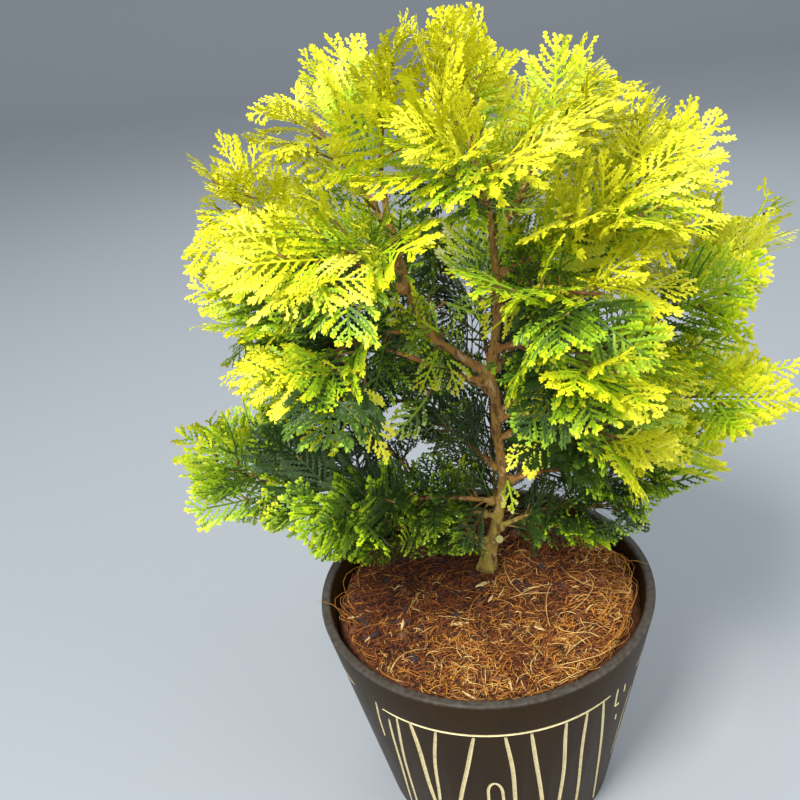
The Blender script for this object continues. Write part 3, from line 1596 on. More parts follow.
class Leaves:
    """The leafy meshes that the sprays are dealt out to, by tint."""

    # Lowest light of each tint, from the brightest down.
    LIGHTS = np.array([0.92, 0.70, 0.54, 0.38, 0.22])

    def __init__(self) -> None:
        """Starts with nothing leafed."""
        self.bunches = {tint: Bunch("foliage_" + tint.name.lower()) for tint in Tint}
        self.stalks = Bunch("spray_stalks")

    def deal(self, light: Array, points: Array, faces: Array, hand: Array) -> None:
        """Puts copies of a shape with the tints that their light gives them.

        Args:
            light: The light of each copy, far above one for the pale tint.
            points: The points of each copy, in the plant's frame.
            faces: The triangles of one copy.
            hand: One for each copy that faces up, minus one for a mirrored one, nought for none.
        """
        found = np.searchsorted(-self.LIGHTS, -light)
        found = np.where(light > Spray.PALE_LIGHT - 1.0, len(self.LIGHTS) + 1, found)
        for sense in (-1.0, 1.0):
            for number, tint in enumerate(Tint):
                chosen = (found == number) & (hand == sense)
                if chosen.any():
                    self.bunches[tint].add(points[chosen], faces if sense > 0 else faces[:, ::-1])

    def build(self, masses: list[Mass]) -> None:
        """Makes, dresses and places every piece of foliage.

        Args:
            masses: The masses that the foliage stands for.
        """
        tops = {Tint.GOLD: (GOLD_ABOVE, 1.0), Tint.LIME: (LIME_ABOVE, GOLD_ABOVE)}
        tops[Tint.GREEN] = (0.0, LIME_ABOVE)
        for tint in Tint:
            low, high = tops.get(tint, (1.0, 1.0))
            nodes = ["foliage_" + mass.name for mass in masses if low < mass.route.end.z <= high]
            self.bunches[tint].build(tint.value, SLOTS.get(tint, "foliage_gold"), nodes)
        self.stalks.build(OLIVE_TWIG, "bark")


# Sprays that the first view shows plainly, set where they are seen. Each row: root, tip and the way
# that the upper face looks, in millimetres along x, y and z, light, and form.
NOTED_SPRAYS = (
    ((13, 6, 161), (16.5, -4, 150.5), (0.2, -1, 0.3), 0.72, PALE_FORM),
    ((38, -18, 200), (12.5, -34, 193), (0, -0.7, 0.8), 0.86, SMALL_FORM),
    ((56, -42, 232), (17.5, -52, 226.5), (0, -0.7, 0.8), 0.92, SMALL_FORM),
    ((23, -13, 248.5), (6, -22, 242.5), (0, -0.8, 0.7), 0.94, SMALL_FORM),
    ((46, -48, 264), (14, -46, 260.5), (0, -0.6, 0.8), 0.94, NARROW_FORM),
    ((7.7, -2, 246), (5, -12, 285), (0.1, -1, 0.2), 0.62, PALE_FORM),
    ((-10.5, 1, 229), (-18, -12, 214.5), (-0.3, -1, 0.6), 0.74, PALE_FORM),
    ((-9, 1, 228), (-4.5, -12, 214), (0.2, -1, 0.6), 0.70, PALE_FORM),
    ((-8, 1, 233), (-25, -14, 253), (0.3, -1, 0.6), 0.68, PALE_FORM),
    ((-8, 1, 247), (9, -11, 245), (0, -1, 0.5), 0.55, PALE_FORM),
    ((-16, -1, 209), (-30, -13, 195), (-0.2, -1, 0.6), 0.50, PALE_FORM),
    ((-44, -47, 243), (-26, -57, 215), (0.2, -0.8, 0.6), 0.98, NARROW_FORM),
    ((-56, -48, 277), (-18, -62, 284), (0, -0.7, 0.8), 0.98, SMALL_FORM),
    ((-38, -42, 240), (-76, -60, 250), (0, -0.6, 0.8), 0.98, MAIN_FORM),
    ((-44, -20, 276), (-74, -32, 292), (0.1, -0.8, 0.6), 0.92, MAIN_FORM),
    ((-40, -24, 214), (-62, -44, 222), (0, -0.7, 0.8), 0.80, SMALL_FORM),
    ((26, -16, 262), (50, -34, 284), (0.1, -0.9, 0.5), 0.92, MAIN_FORM),
    ((-4, -14, 296), (-2, -26, 332), (0, -1, 0.3), 0.90, MAIN_FORM),
)


@dataclass(frozen=True)
class Filling:
    """What fills one part of a mass's route: its sprays' number, forms, lengths in mm and shade.

    It begins at a share of the route, runs for a share of it, and tries each spray some times.
    """

    begin: float
    run: float
    count: int
    forms: tuple[SprayForm, ...]
    lengths: Range
    shade: float
    tries: int = 1


@dataclass
class Foliage:
    """All the sprays: those of the solids' fans, and the finer ones that fill between them."""

    growth: Growth
    leaves: Leaves = field(default_factory=Leaves)
    twigs: Bunch = field(default_factory=lambda: Bunch("twigs"))
    seed: int = 300
    side_shares: tuple[float, ...] = (0.26, 0.52)
    stem_sprays: int = 5
    bough_sprays: int = 14
    back_sprays: int = 22
    inner_tries: int = 4
    window_half: float = 8.0 * MM
    window_low: float = 104.0 * MM
    window_high: float = 262.0 * MM
    window_depth: float = 8.0 * MM
    window_kept: float = 0.9
    open_from: float = 0.40
    open_span: float = 0.52
    patch_gain: float = 1.25
    cover_gap: float = 2.2 * MM
    cover_reach: float = 48.0 * MM
    cover_most: int = 3
    cover_shade: float = 0.13
    face_out: float = 0.8
    # The shares of a fan that stand for its middle and its tip.
    middle: float = 0.6
    tip: float = 0.92
    # A fan's side sprays: their lean, their rise, how far they roll, their share of the fan's
    # length, how much of that is lost along the fan, and how much darker they are.
    side_lean: Range = (26.0, 48.0)
    side_rise: Range = (10.0, 30.0)
    side_roll: float = 20.0
    side_length: Range = (0.50, 0.68)
    side_taper: float = 0.25
    side_shade: float = 0.08
    # The lean, roll and lift of the sprays straight on a stem or bough.
    route_lean: Range = (34.0, 66.0)
    route_roll: float = 45.0
    route_lift: float = 0.2
    # A spray's light: the least, what being open adds, what its height under and over the crown's
    # middle adds, and how far it is scattered.
    light_least: float = 0.40
    light_open: float = 0.50
    light_under: float = 0.30
    light_over: float = 0.08
    light_scatter: float = 0.04
    spray_cuts: int = 5
    spray_cut: float = 0.82
    sprays: list[Spray] = field(default_factory=list)

    def cover(self, place: Vector, way: Vector) -> int:
        """How many fans, up to the limit, lie over a place in one direction.

        Args:
            place: The place.
            way: The direction.

        Returns:
            Their number.
        """
        ray = (place + way * self.cover_gap, way, self.cover_reach)
        blades = (tree for mass in self.growth.masses for tree in mass.trees[1:])
        return min(self.cover_most, sum(tree.ray_cast(*ray)[0] is not None for tree in blades))

    def tone(self, fan: Fan) -> float:
        """How brightly a spray is coloured: by how far out, how high and how open it is.

        Args:
            fan: The spray's fan.

        Returns:
            Its light, from about nought to one.
        """
        middle = fan.place(self.middle)
        away = (middle - CROWN_CENTRE) / CROWN_RADIUS
        openness = min(1.0, max(0.0, (away.length - self.open_from) / self.open_span))
        ways = (UP, (UP * 0.6 + away.normalized()).normalized(), SUNWARD)
        cover = sum(self.cover(middle, way) for way in ways) / 3
        height = (self.light_under if away.z < 0 else self.light_over) * away.z
        light = self.light_least + self.light_open * openness + height
        light += self.mass.light - self.cover_shade * cover
        places = np.array([fan.place(share)[:] for share in (0.5, 0.9)])
        patches = sum(p.light * float(p.depth(places).clip(0.0).mean()) for p in LIT_PATCHES)
        return light + self.patch_gain * patches + self.draw.gauss(0.0, self.light_scatter)

    def hides_trunk(self, fan: Fan) -> bool:
        """Whether a spray stands between the viewer and the bare trunk.

        Args:
            fan: The spray's fan.

        Returns:
            Whether it does.
        """
        eye = Vector(VIEWPOINT)
        for place in (fan.place(share) for share in (0.25, 0.5, 0.75, 1.0)):
            if place.y <= self.window_depth:
                seen = eye + (place - eye) * ((self.window_depth - eye.y) / (place.y - eye.y))
                middle = at_height(self.growth.limbs[TRUNK_NAME], seen.z)
                high = self.window_low < seen.z < self.window_high
                if high and abs(seen.x - middle.x) < self.window_half:
                    return True
        return False

    def allowed(self, fan: Fan) -> bool:
        """Whether a finer spray may grow here.

        Args:
            fan: Its fan.

        Returns:
            Whether it may.
        """
        points, faces = fan.shape()
        if any(point.z < LOWEST_LEAF or self.mass.beyond(point) for point in points):
            return False
        if self.draw.random() < self.window_kept and self.hides_trunk(fan):
            return False
        blade = [[k - TWIG_POINTS for k in face] for face in faces if min(face) >= TWIG_POINTS]
        tree = tree_of(points[TWIG_POINTS:], blade)
        return not any(tree.overlap(other) for other in self.growth.trees)

    def add(self, fan: Fan, form: SprayForm, tone: float, turn: float) -> None:
        """Adds one spray, shortened where its tip would close an opening.

        Args:
            fan: Its fan.
            form: Its form.
            tone: Its light.
            turn: How far it turns its face out of the crown.
        """
        out = (fan.place(self.middle) - CROWN_CENTRE).normalized()
        length = fan.length
        for _ in range(self.spray_cuts):
            turned = Fan(fan.root, fan.along, fan.face + out * turn, length)
            if not in_openings(np.array(turned.place(self.tip))):
                self.sprays.append(Spray(turned, form, tone, self.seed + len(self.sprays)))
                return
            length *= self.spray_cut

    def add_finer(self, fan: Fan, forms: Sequence[SprayForm], shade: float) -> bool:
        """Adds a finer spray where it may grow.

        Args:
            fan: Its fan.
            forms: The forms that it may have.
            shade: How much darker it is than its place makes it.

        Returns:
            Whether it was added.
        """
        if not self.allowed(fan):
            return False
        form = self.draw.choice(forms) if len(forms) > 1 else forms[0]
        self.add(fan, form, self.tone(fan) - shade, self.face_out)
        return True

    def on_fans(self) -> None:
        """Adds the side sprays of a mass's fans, above and below their blades."""
        draw = self.draw
        for fan in self.mass.fans:
            sign = draw.choice((-1, 1))
            for share in self.side_shares:
                sign = -sign
                lean = draw.uniform(*self.side_lean)
                rise = draw.uniform(*self.side_rise) * draw.choice((1, 1, -1))
                turns = (lean, rise, draw.uniform(-self.side_roll, self.side_roll))
                length = fan.length * draw.uniform(*self.side_length) * (1.0 - self.side_taper * share)
                root = fan.place(share)
                child = branch(root, fan.along, fan.face, fan.side * sign, turns, 0.0, length)
                self.add_finer(child, (SMALL_FORM,), self.side_shade)

    def fillings(self) -> list[Filling]:
        """The sprays straight on a mass's stem, and the deep green combs inside, on its bough.

        Returns:
            Each part's filling.
        """
        share = self.mass.share
        stem = Filling(share, STEM_SHARE - share, self.stem_sprays, (SMALL_FORM,), (24.0, 42.0), 0.10)
        if not share:
            return [stem]
        count = self.back_sprays if "back" in self.mass.name else self.bough_sprays
        forms = (COMB_FORM, COMB_FORM, SMALL_FORM)
        inside = (share * 0.10, share * 0.96, count, forms, (18.0, 38.0), 0.06, self.inner_tries)
        return [stem, Filling(*inside)]

    def fill(self, part: Filling) -> None:
        """Adds the sprays that fill one part of a mass's route.

        Args:
            part: The part's filling.
        """
        mass, draw = self.mass, self.draw
        for number in range(part.count):
            for _ in range(part.tries):
                t = part.begin + part.run * (number + draw.random()) / part.count
                along = mass.route.along(t)
                face = mass.facing(along)
                length = draw.uniform(*part.lengths) * MM
                turn = draw.uniform(0.0, 2 * math.pi)
                lean = draw.uniform(*self.route_lean)
                turns = (lean, 0.0, draw.uniform(-self.route_roll, self.route_roll))
                away = face.cross(along) * math.cos(turn) + face * math.sin(turn)
                root = mass.route.at(t)
                child = branch(root, along, face, away, turns, self.route_lift, length)
                if self.add_finer(child, part.forms, part.shade):
                    break

    def add_noted(self) -> None:
        """Adds the sprays that are set by hand, each on a twig from the nearest wood."""
        wood = [place.xyz for line in self.growth.limbs.values() for place in line]
        for mass in self.growth.masses:
            wood += [mass.route.at(0.05 + 0.65 * i / 24) for i in range(25)]
        for root, tip, face, tone, form in NOTED_SPRAYS:
            root = Vector(root) * MM
            step = Vector(tip) * MM - root
            self.add(Fan(root, step, Vector(face), step.length), form, tone, 0.0)
            start = min(wood, key=lambda place: (place - root).length)
            bend = start.lerp(root, 0.5) - UP * 0.08 * (start - root).length
            end = root + step.normalized() * 1.5 * MM
            middle = [start, start.lerp(bend, 0.6), bend.lerp(root, 0.5), end]
            radii = np.array([[0.75, 0.65, 0.55, 0.45]]) * MM
            self.twigs.add(*tube_grid(np.array([[place[:] for place in middle]]), radii, 6))

    def build(self) -> None:
        """Leafs every spray and builds the pieces."""
        stems = []
        for number, mass in enumerate(self.growth.masses):
            self.mass = mass
            self.draw = random.Random(self.seed + number)
            for fan in mass.fans:
                self.add(fan, MAIN_FORM, self.tone(fan), self.face_out)
            self.on_fans()
            for part in self.fillings():
                self.fill(part)
            shares = np.linspace(mass.share * 0.94, STEM_SHARE, 10)
            stems.append([mass.route.at(t)[:] for t in shares])
        self.add_noted()
        log.info("sprays: %d", len(self.sprays))
        for spray in self.sprays:
            spray.leaf(self.leaves)
        self.leaves.build(self.growth.masses)
        radii = np.tile(np.linspace(STEM_RADIUS, 0.5 * MM, 10), (len(stems), 1))
        self.twigs.add(*tube_grid(np.array(stems), radii, 8))
        self.twigs.build(BROWN_TWIG, "bark")


# Pot


@dataclass
class Pot:
    """The tapered pot with its rounded rim, drainage holes and scratched lines.

    A scratched line has the azimuth and height of its top and its foot, and its width, in degrees
    and mm.
    """

    rim_radius: float = 76.0 * MM
    foot_radius: float = 55.6 * MM
    height: float = 110.0 * MM
    wall: float = 4.2 * MM
    floor: float = 4.0 * MM
    rim_round: float = 1.4 * MM
    foot_round: float = 1.5 * MM
    steps: int = 160
    drain_holes: int = 5
    drain_radius: float = 4.0 * MM
    drain_circle: float = 34.0 * MM
    ring_height: float = 90.0
    ring_arcs: Rows = ((229.5, 311.5), (328.0, 418.0), (431.0, 500.0), (512.0, 574.0))
    ring_width: float = 1.5
    arch_middle: float = 267.7
    arch_width: float = 1.4
    line_steps: int = 12
    groove_lift: float = 0.12 * MM
    seed: int = 11
    # The lines that the first view doesn't show: the azimuths from where to where they are drawn,
    # how far apart, how far they lean, their lower and upper ends, how often they reach the ring,
    # and their width.
    far_lines: Range = (330.0, 566.0)
    far_step: Range = (9.0, 13.5)
    far_lean: float = 13.0
    far_low: Range = (6.0, 46.0)
    far_top: float = 89.0
    far_short_top: Range = (66.0, 84.0)
    far_full: float = 0.8
    far_width: Range = (1.1, 1.6)
    lines: Rows = (
        (227, 92, 223, 64, 1.3),
        (231, 84, 221.5, 8, 1.6),
        (235.5, 89, 226.5, 11, 1.6),
        (241, 89.5, 240.5, 24, 2.3),
        (250, 89, 241.5, 20, 1.7),
        (262.5, 89, 250.5, 22, 1.9),
        (272.6, 89, 276.4, 18, 1.9),
        (281, 89, 287.5, 20, 1.9),
        (293, 89, 294.5, 14, 1.9),
        (301, 89, 304.5, 12, 1.8),
        (308, 90, 319.5, 5, 1.7),
        (315.5, 89.5, 316.5, 77, 1.5),
        (316.5, 77, 319.5, 75.5, 1.4),
        (320.5, 87, 321.6, 81, 1.3),
        (319.5, 68, 320.5, 63.5, 1.3),
    )

    def outer_radius(self, height: float) -> float:
        """The pot's outer radius at a height."""
        return self.foot_radius + (self.rim_radius - self.foot_radius) * height / self.height

    def turn_body(self) -> None:
        """Turns the body: a cone that is hollowed, with its rim and foot rounded."""
        size = {"radius1": self.foot_radius, "radius2": self.rim_radius, "depth": self.height}
        size |= {"vertices": self.steps, "location": (0.0, 0.0, 0.5 * self.height)}
        self.body = primitive(bpy.ops.mesh.primitive_cone_add, "pot_body", **size)
        select(self.body, "FACE", lambda middle, normal: normal.z > 0.9)
        bpy.ops.mesh.inset(thickness=self.wall)
        drop = self.height - self.floor
        bpy.ops.mesh.extrude_region_move(TRANSFORM_OT_translate={"value": (0.0, 0.0, -drop)})
        narrow = (self.outer_radius(self.floor) - self.wall) / (self.rim_radius - self.wall)
        centre = (0.0, 0.0, self.floor)
        bpy.ops.transform.resize(value=(narrow, narrow, 1.0), center_override=centre)
        self.round(self.height, self.rim_round, 5)
        self.round(0.0, self.foot_round, 3)

    def round(self, height: float, width: float, steps: int) -> None:
        """Rounds the edges that go round the pot at a height, and not those across its wall.

        Args:
            height: The height.
            width: How far the rounding goes.
            steps: Its steps.
        """

        def goes_round(a: Vector, b: Vector) -> bool:
            """Whether an edge is at the height, with both ends as far from the pot's middle."""
            high = max(abs(a.z - height), abs(b.z - height)) < 0.01 * MM
            return high and abs(math.hypot(a.x, a.y) - math.hypot(b.x, b.y)) <= 0.5 * MM

        select(self.body, "EDGE", goes_round)
        bpy.ops.mesh.bevel(offset=width, segments=steps, profile=0.5)
        only()

    def grooves(self) -> list[list[Triple]]:
        """Every groove of the pattern: a ring in stretches, wavering lines, and an arch.

        The lines are those of the front, and lines of the same kind round the rest.

        Returns:
            Each as rows of azimuth, height and width, in degrees and mm.
        """
        found = []
        for first, last in self.ring_arcs:
            found.append([])
            for share in np.linspace(0.0, 1.0, 1 + max(8, round((last - first) / 3.0))):
                azimuth = first + (last - first) * share
                height = self.ring_height + 0.5 * math.sin(math.radians(3 * azimuth))
                width = self.ring_width * (1.0 - 0.4 * abs(2 * share - 1) ** 8)
                found[-1].append((azimuth, height, width))
        draw = random.Random(self.seed)
        lines = list(self.lines)
        azimuth, last_azimuth = self.far_lines
        while azimuth < last_azimuth:
            lean = draw.uniform(-self.far_lean, self.far_lean)
            low = draw.uniform(*self.far_low)
            full = draw.random() < self.far_full
            top = self.far_top if full else draw.uniform(*self.far_short_top)
            lines.append((azimuth, top, azimuth + lean, low, draw.uniform(*self.far_width)))
            azimuth += draw.uniform(*self.far_step)
        draw = random.Random(self.seed)
        for first, top, last, low, width in lines:
            found.append([])
            phase = draw.uniform(0.0, 6.0)
            wave = draw.uniform(0.2, 0.9) * min(1.0, abs(top - low) / 50.0)
            for share in np.linspace(0.0, 1.0, self.line_steps + 1):
                azimuth = first + (last - first) * share
                azimuth += wave * math.sin(phase + 4.0 * share) * math.sin(math.pi * share)
                own = width * (1.0 - 0.35 * abs(2 * share - 1) ** 6)
                found[-1].append((azimuth, top + (low - top) * share, own))
        arch = [(271.6, 18.0), (271.2, 28.0), (270.7, 38.0)]
        for turn in np.linspace(0.0, math.pi, 13):
            arch.append((self.arch_middle + 2.8 * math.cos(turn), 46.0 + 8.2 * math.sin(turn)))
        arch += [(264.7, 38.0), (264.2, 28.0), (263.9, 17.0)]
        return [*found, [(*row, self.arch_width) for row in arch]]

    def groove_tool(self, rows: Iterable[Triple]) -> Piece:
        """The rod that cuts one groove out of the outer wall.

        Args:
            rows: Its azimuths, heights and widths.

        Returns:
            The rod.
        """
        line = []
        for azimuth, height, width in rows:
            reach = self.outer_radius(height * MM) + self.groove_lift
            line.append(knot(outward(azimuth) * reach + UP * height * MM, 0.5 * width * MM))
        return rod(line, 2)

    def cut(self, tools: list[Piece], finish: Paint) -> None:
        """Cuts tools out of the body.

        Args:
            tools: The cutters, which are removed.
            finish: The material of the cut faces.
        """
        home = bpy.data.collections.new("pot_tools")
        bpy.context.scene.collection.children.link(home)
        for tool in tools:
            tool.data.materials.append(finish)
            tool.users_collection[0].objects.unlink(tool)
            home.objects.link(tool)
        by = {"operand_type": "COLLECTION", "collection": home, "solver": "MANIFOLD"}
        modify(self.body, "BOOLEAN", operation="DIFFERENCE", **by)
        for tool in tools:
            bpy.data.objects.remove(tool, do_unlink=True)
        bpy.data.collections.remove(home)

    def build(self) -> None:
        """Builds and dresses the pot."""
        self.turn_body()
        glaze = GlazeFinish().make()
        clay = CLAY.make()
        for material in (glaze, clay):
            self.body.data.materials.append(material)
        holes = []
        size = {"vertices": 32, "radius": self.drain_radius, "depth": 4 * self.floor}
        for number in range(self.drain_holes):
            place = outward(360.0 * (number + 0.5) / self.drain_holes) * self.drain_circle
            drill = bpy.ops.mesh.primitive_cylinder_add
            holes.append(primitive(drill, "drain_hole", location=place, **size))
        self.cut(holes, glaze)
        self.cut([self.groove_tool(rows) for rows in self.grooves()], clay)
        only(self.body)
        bpy.ops.object.shade_smooth_by_angle(angle=math.radians(32.0))
        ride(self.body, ["pot"])


# Coir fill


@dataclass(frozen=True)
class Fibre:
    """The ranges of one sort of fibre, in mm: length, lift over the bed, arch and thickness.

    Its curl is how far it may turn over its length, in radians.
    """

    length: Range
    lift: Range
    arch: Range
    thick: Range
    curl: float


SHORT_FIBRE = Fibre((2.6, 9.5), (-0.2, 1.5), (-0.4, 1.3), (0.10, 0.24), 0.8)
LONG_FIBRE = Fibre((16.0, 34.0), (0.6, 2.0), (0.2, 2.2), (0.11, 0.18), 1.5)
FIBRE_TAPER = np.array([0.6, 1.0, 1.0, 1.0, 0.9, 0.5])
# The bed's clods, crumbs and grit: their size and how high they stand, in mm.
CRUMBS = ((7.0, 1.2), (2.6, 0.9), (1.1, 0.5))


@dataclass
class Fill:
    """The coir that fills the pot: a crumbly bed, lumps, chips and tangled fibres."""

    pot: Pot
    top: float = 103.6 * MM
    uneven: float = 1.8 * MM
    level_pad: float = 13.0 * MM
    pad_blend: float = 14.0 * MM
    rings: int = 78
    steps: int = 220
    edge: float = 7.0 * MM
    edge_drop: float = 6.0 * MM
    mound: float = 2.6 * MM
    pits: Rows = ((16.1, -33.8, 3.4, 3.2), (12.5, -61, 4, 2.6), (-16, 27, 7, 1.6))
    strand_steps: int = 5
    fibres: int = 10500
    long_fibres: int = 120
    lumps: int = 620
    # The fibres against the inner wall: how many, how many of them at the front right, and the
    # azimuths there and at the left.
    wall_count: int = 60
    wall_front: int = 46
    front_azimuths: Range = (-58.0, 34.0)
    left_azimuths: Range = (165.0, 225.0)
    over_rim: tuple[Rows, ...] = (
        ((53.6, -38, 105), (63.4, -13.8, 106.5), (62.8, 8.7, 109), (69.5, 5.4, 111), (74.5, 2.4, 110.6)),
        ((-56, -22, 105.5), (-64, -16, 109), (-71, -11, 111.2), (-78, -7, 109)),
    )
    chips: Rows = (
        (-12.3, -24, 7.6, 1.9, 4),
        (-38, -21, 7, 1.3, 84),
        (-1, 1, 7, 2.2, 24),
        (2, -8, 5, 1.2, 60),
        (22, -30.5, 5.5, 1.2, -35),
        (-52, -28, 6.5, 0.9, 50),
        (-60, -14, 6, 0.9, 8),
        (7, -60, 6.5, 1, -82),
        (-10, -64, 7, 1.1, -40),
    )
    plug_foot: float = 96.0 * MM
    seed: int = 71

    def radius(self) -> float:
        """The bed's radius."""
        return self.pot.outer_radius(self.top) - self.pot.wall - 3 * GAP

    def height(self, x: float, y: float) -> float:
        """The bed's smooth height: level round the trunk's foot, heaped at the front and right.

        Args:
            x: The place across.
            y: The place in depth.

        Returns:
            The height.
        """
        away = math.hypot(x - TRUNK[0][0] * MM, y - TRUNK[0][1] * MM)
        share = min(1.0, max(0.0, (away - self.level_pad) / self.pad_blend))
        share = share * share * (3 - 2 * share)
        lumps = noise.noise(Vector((x, y, 0.0)) / (18 * MM))
        heap = 0.5 * (x - y) / self.pot.rim_radius
        found = self.top + self.uneven * share * (lumps + heap)
        found += self.mound * math.exp(-(((away - 9.5 * MM) / (4.5 * MM)) ** 2))
        over = max(0.0, math.hypot(x, y) - (self.radius() - self.edge)) / self.edge
        found -= self.edge_drop * over * over
        for centre_x, centre_y, wide, deep in self.pits:
            off = math.hypot(x - centre_x * MM, y - centre_y * MM) / (wide * MM)
            found -= deep * MM * math.exp(-off * off)
        return found

    def crumbled(self, x: float, y: float) -> float:
        """The bed's height at a place, with its clods, crumbs and grit."""
        grit = (noise.noise(Vector((x, y, 0.0)) / (size * MM)) * depth * MM for size, depth in CRUMBS)
        return sum(grit, self.height(x, y) - 0.5 * MM)

    def somewhere(self, margin: float) -> Vector:
        """A place drawn on the bed, at least a margin from its edge."""
        reach = (self.radius() - margin) * math.sqrt(self.draw.random())
        return outward(self.draw.uniform(0.0, 360.0)) * reach

    def build_bed(self) -> None:
        """Builds the bed: a disc of rings drawn inwards, crumbled, on a plain plug."""
        ring = {"vertices": self.steps, "radius": self.radius(), "fill_type": "NOTHING"}
        bed = primitive(bpy.ops.mesh.primitive_circle_add, "coir_bed", **ring)
        bpy.ops.object.mode_set(mode="EDIT")
        bpy.ops.mesh.select_all(action="SELECT")
        for left in range(self.rings, 1, -1):
            shrink = (left - 1) / left
            bpy.ops.mesh.extrude_edges_move()
            bpy.ops.transform.resize(value=(shrink, shrink, 1.0), center_override=(0.0, 0.0, 0.0))
        bpy.ops.mesh.merge(type="CENTER")
        bpy.ops.object.mode_set(mode="OBJECT")
        for vertex in bed.data.vertices:
            vertex.co.z = self.crumbled(vertex.co.x, vertex.co.y)
        edge = self.radius() - 0.01 * MM
        select(bed, "EDGE", lambda a, b: min(math.hypot(a.x, a.y), math.hypot(b.x, b.y)) > edge)
        bpy.ops.mesh.extrude_edges_move()
        bpy.ops.transform.resize(value=(1.0, 1.0, 0.0), center_override=(0.0, 0.0, self.plug_foot))
        bpy.ops.mesh.edge_face_add()
        all_faces_out()
        dress(bed, COIR_BED.make(), 180.0)
        ride(bed, ["coir_fill"])

    def add_lumps(self) -> None:
        """Adds dark lumps, thickest at the back left and behind the trunk, and crumbs."""
        self.draw = draw = random.Random(self.seed)
        ball = bpy.ops.mesh.primitive_ico_sphere_add
        shape, faces = taken(primitive(ball, "lump", subdivisions=2, radius=1.0))
        dark = Bunch("coir_lumps_dark")
        red = Bunch("coir_lumps_red")
        for _ in range(self.lumps):
            place = self.somewhere(4 * MM)
            backness = 0.5 + 0.5 * (place.y - 0.6 * place.x) / self.radius()
            size = draw.uniform(0.7, 1.5) * MM
            if draw.random() < backness * 0.8:
                size *= draw.uniform(1.0, 2.3)
            turn = Matrix.Rotation(draw.uniform(0, 6.3), 3, (draw.random(), draw.random(), 1.0))
            own = Vector((place.length * 900, place.x * 900, 0))
            grain = np.array([noise.noise(Vector(point) * 1.7 + own) for point in shape])
            lump = shape * (1.0 + 0.45 * grain)[:, None]
            lump = lump * np.array([1.0, draw.uniform(0.6, 1.0), draw.uniform(0.5, 0.9)])
            high = self.crumbled(place.x, place.y) + 0.15 * size
            lump = lump @ np.array(turn) * size + np.array([place.x, place.y, high])
            (dark if draw.random() < backness else red).add(lump[None], faces)
        dark.build(COIR_DARK_LUMPS, "coir")
        red.build(COIR_RED_LUMPS, "coir")

    def strand(self, place: Vector, fibre: Fibre) -> list[Triple]:
        """The middle line of one fibre that lies on the bed.

        Args:
            place: Where it starts.
            fibre: Its sort.

        Returns:
            Its places.
        """
        draw = self.draw
        length = draw.uniform(*fibre.length) * MM
        lift = draw.uniform(*fibre.lift) * MM
        arch = draw.uniform(*fibre.arch) * MM
        curl = draw.gauss(0.0, fibre.curl)
        heading = draw.uniform(0.0, 2 * math.pi)
        x, y = place.xy
        found = []
        limit = self.radius() - 3.6 * MM
        for i in range(self.strand_steps + 1):
            away = math.hypot(x, y)
            if away > limit:
                x, y = x * limit / away, y * limit / away
            rise = lift + arch * math.sin(math.pi * i / self.strand_steps)
            found.append((x, y, self.height(x, y) + rise))
            heading += curl / self.strand_steps
            x += math.cos(heading) * length / self.strand_steps
            y += math.sin(heading) * length / self.strand_steps
        return found

    def kind(self, gold: float, pick: float, long: bool) -> str:
        """The colour of a fibre.

        Args:
            gold: How golden the coir is there.
            pick: The fibre's own draw.
            long: Whether it is a long one.

        Returns:
            The colour.
        """
        if long:
            return "straw" if pick < 0.5 * gold else "ochre"
        steps = (0.34 - 0.24 * gold, 0.95 - 0.50 * gold, 0.99 - 0.12 * gold)
        return ("dark", "russet", "ochre", "straw")[sum(pick >= step for step in steps)]

    def add_fibres(self) -> None:
        """Adds the tangle of fibres, in four colours, golden and thickest at the front right."""
        self.draw = draw = random.Random(self.seed + 1)
        strands = {kind: [] for kind in FIBRES}
        bare = [(TRUNK[0][0], TRUNK[0][1], 6.5), *((x, y, 0.8 * wide) for x, y, wide, _ in self.pits)]
        for number in range(self.fibres + self.long_fibres):
            long = number >= self.fibres
            place = self.somewhere(3.0 * MM)
            x, y = place.xy / MM
            if any(math.hypot(x - bare_x, y - bare_y) < wide for bare_x, bare_y, wide in bare):
                continue
            patchy = 0.9 * noise.noise(place / (22 * MM))
            toward = (0.55 * place.x - 0.80 * place.y) / self.radius()
            gold = min(1.0, max(0.0, 0.30 + 0.85 * toward + patchy))
            if long and draw.random() > gold:
                continue
            kind = self.kind(gold, draw.random(), long)
            fibre = LONG_FIBRE if long else SHORT_FIBRE
            line = self.strand(place, fibre)
            strands[kind].append((line, draw.uniform(*fibre.thick) * MM))
        strands["ochre"] += self.wall_fibres()
        for kind, finish in FIBRES.items():
            middles = np.array([line for line, _ in strands[kind]])
            radii = np.array([thick for _, thick in strands[kind]])[:, None] * FIBRE_TAPER
            bunch = Bunch("coir_fibres_" + kind)
            bunch.add(*tube_grid(middles, radii, 3))
            bunch.build(finish, "coir")

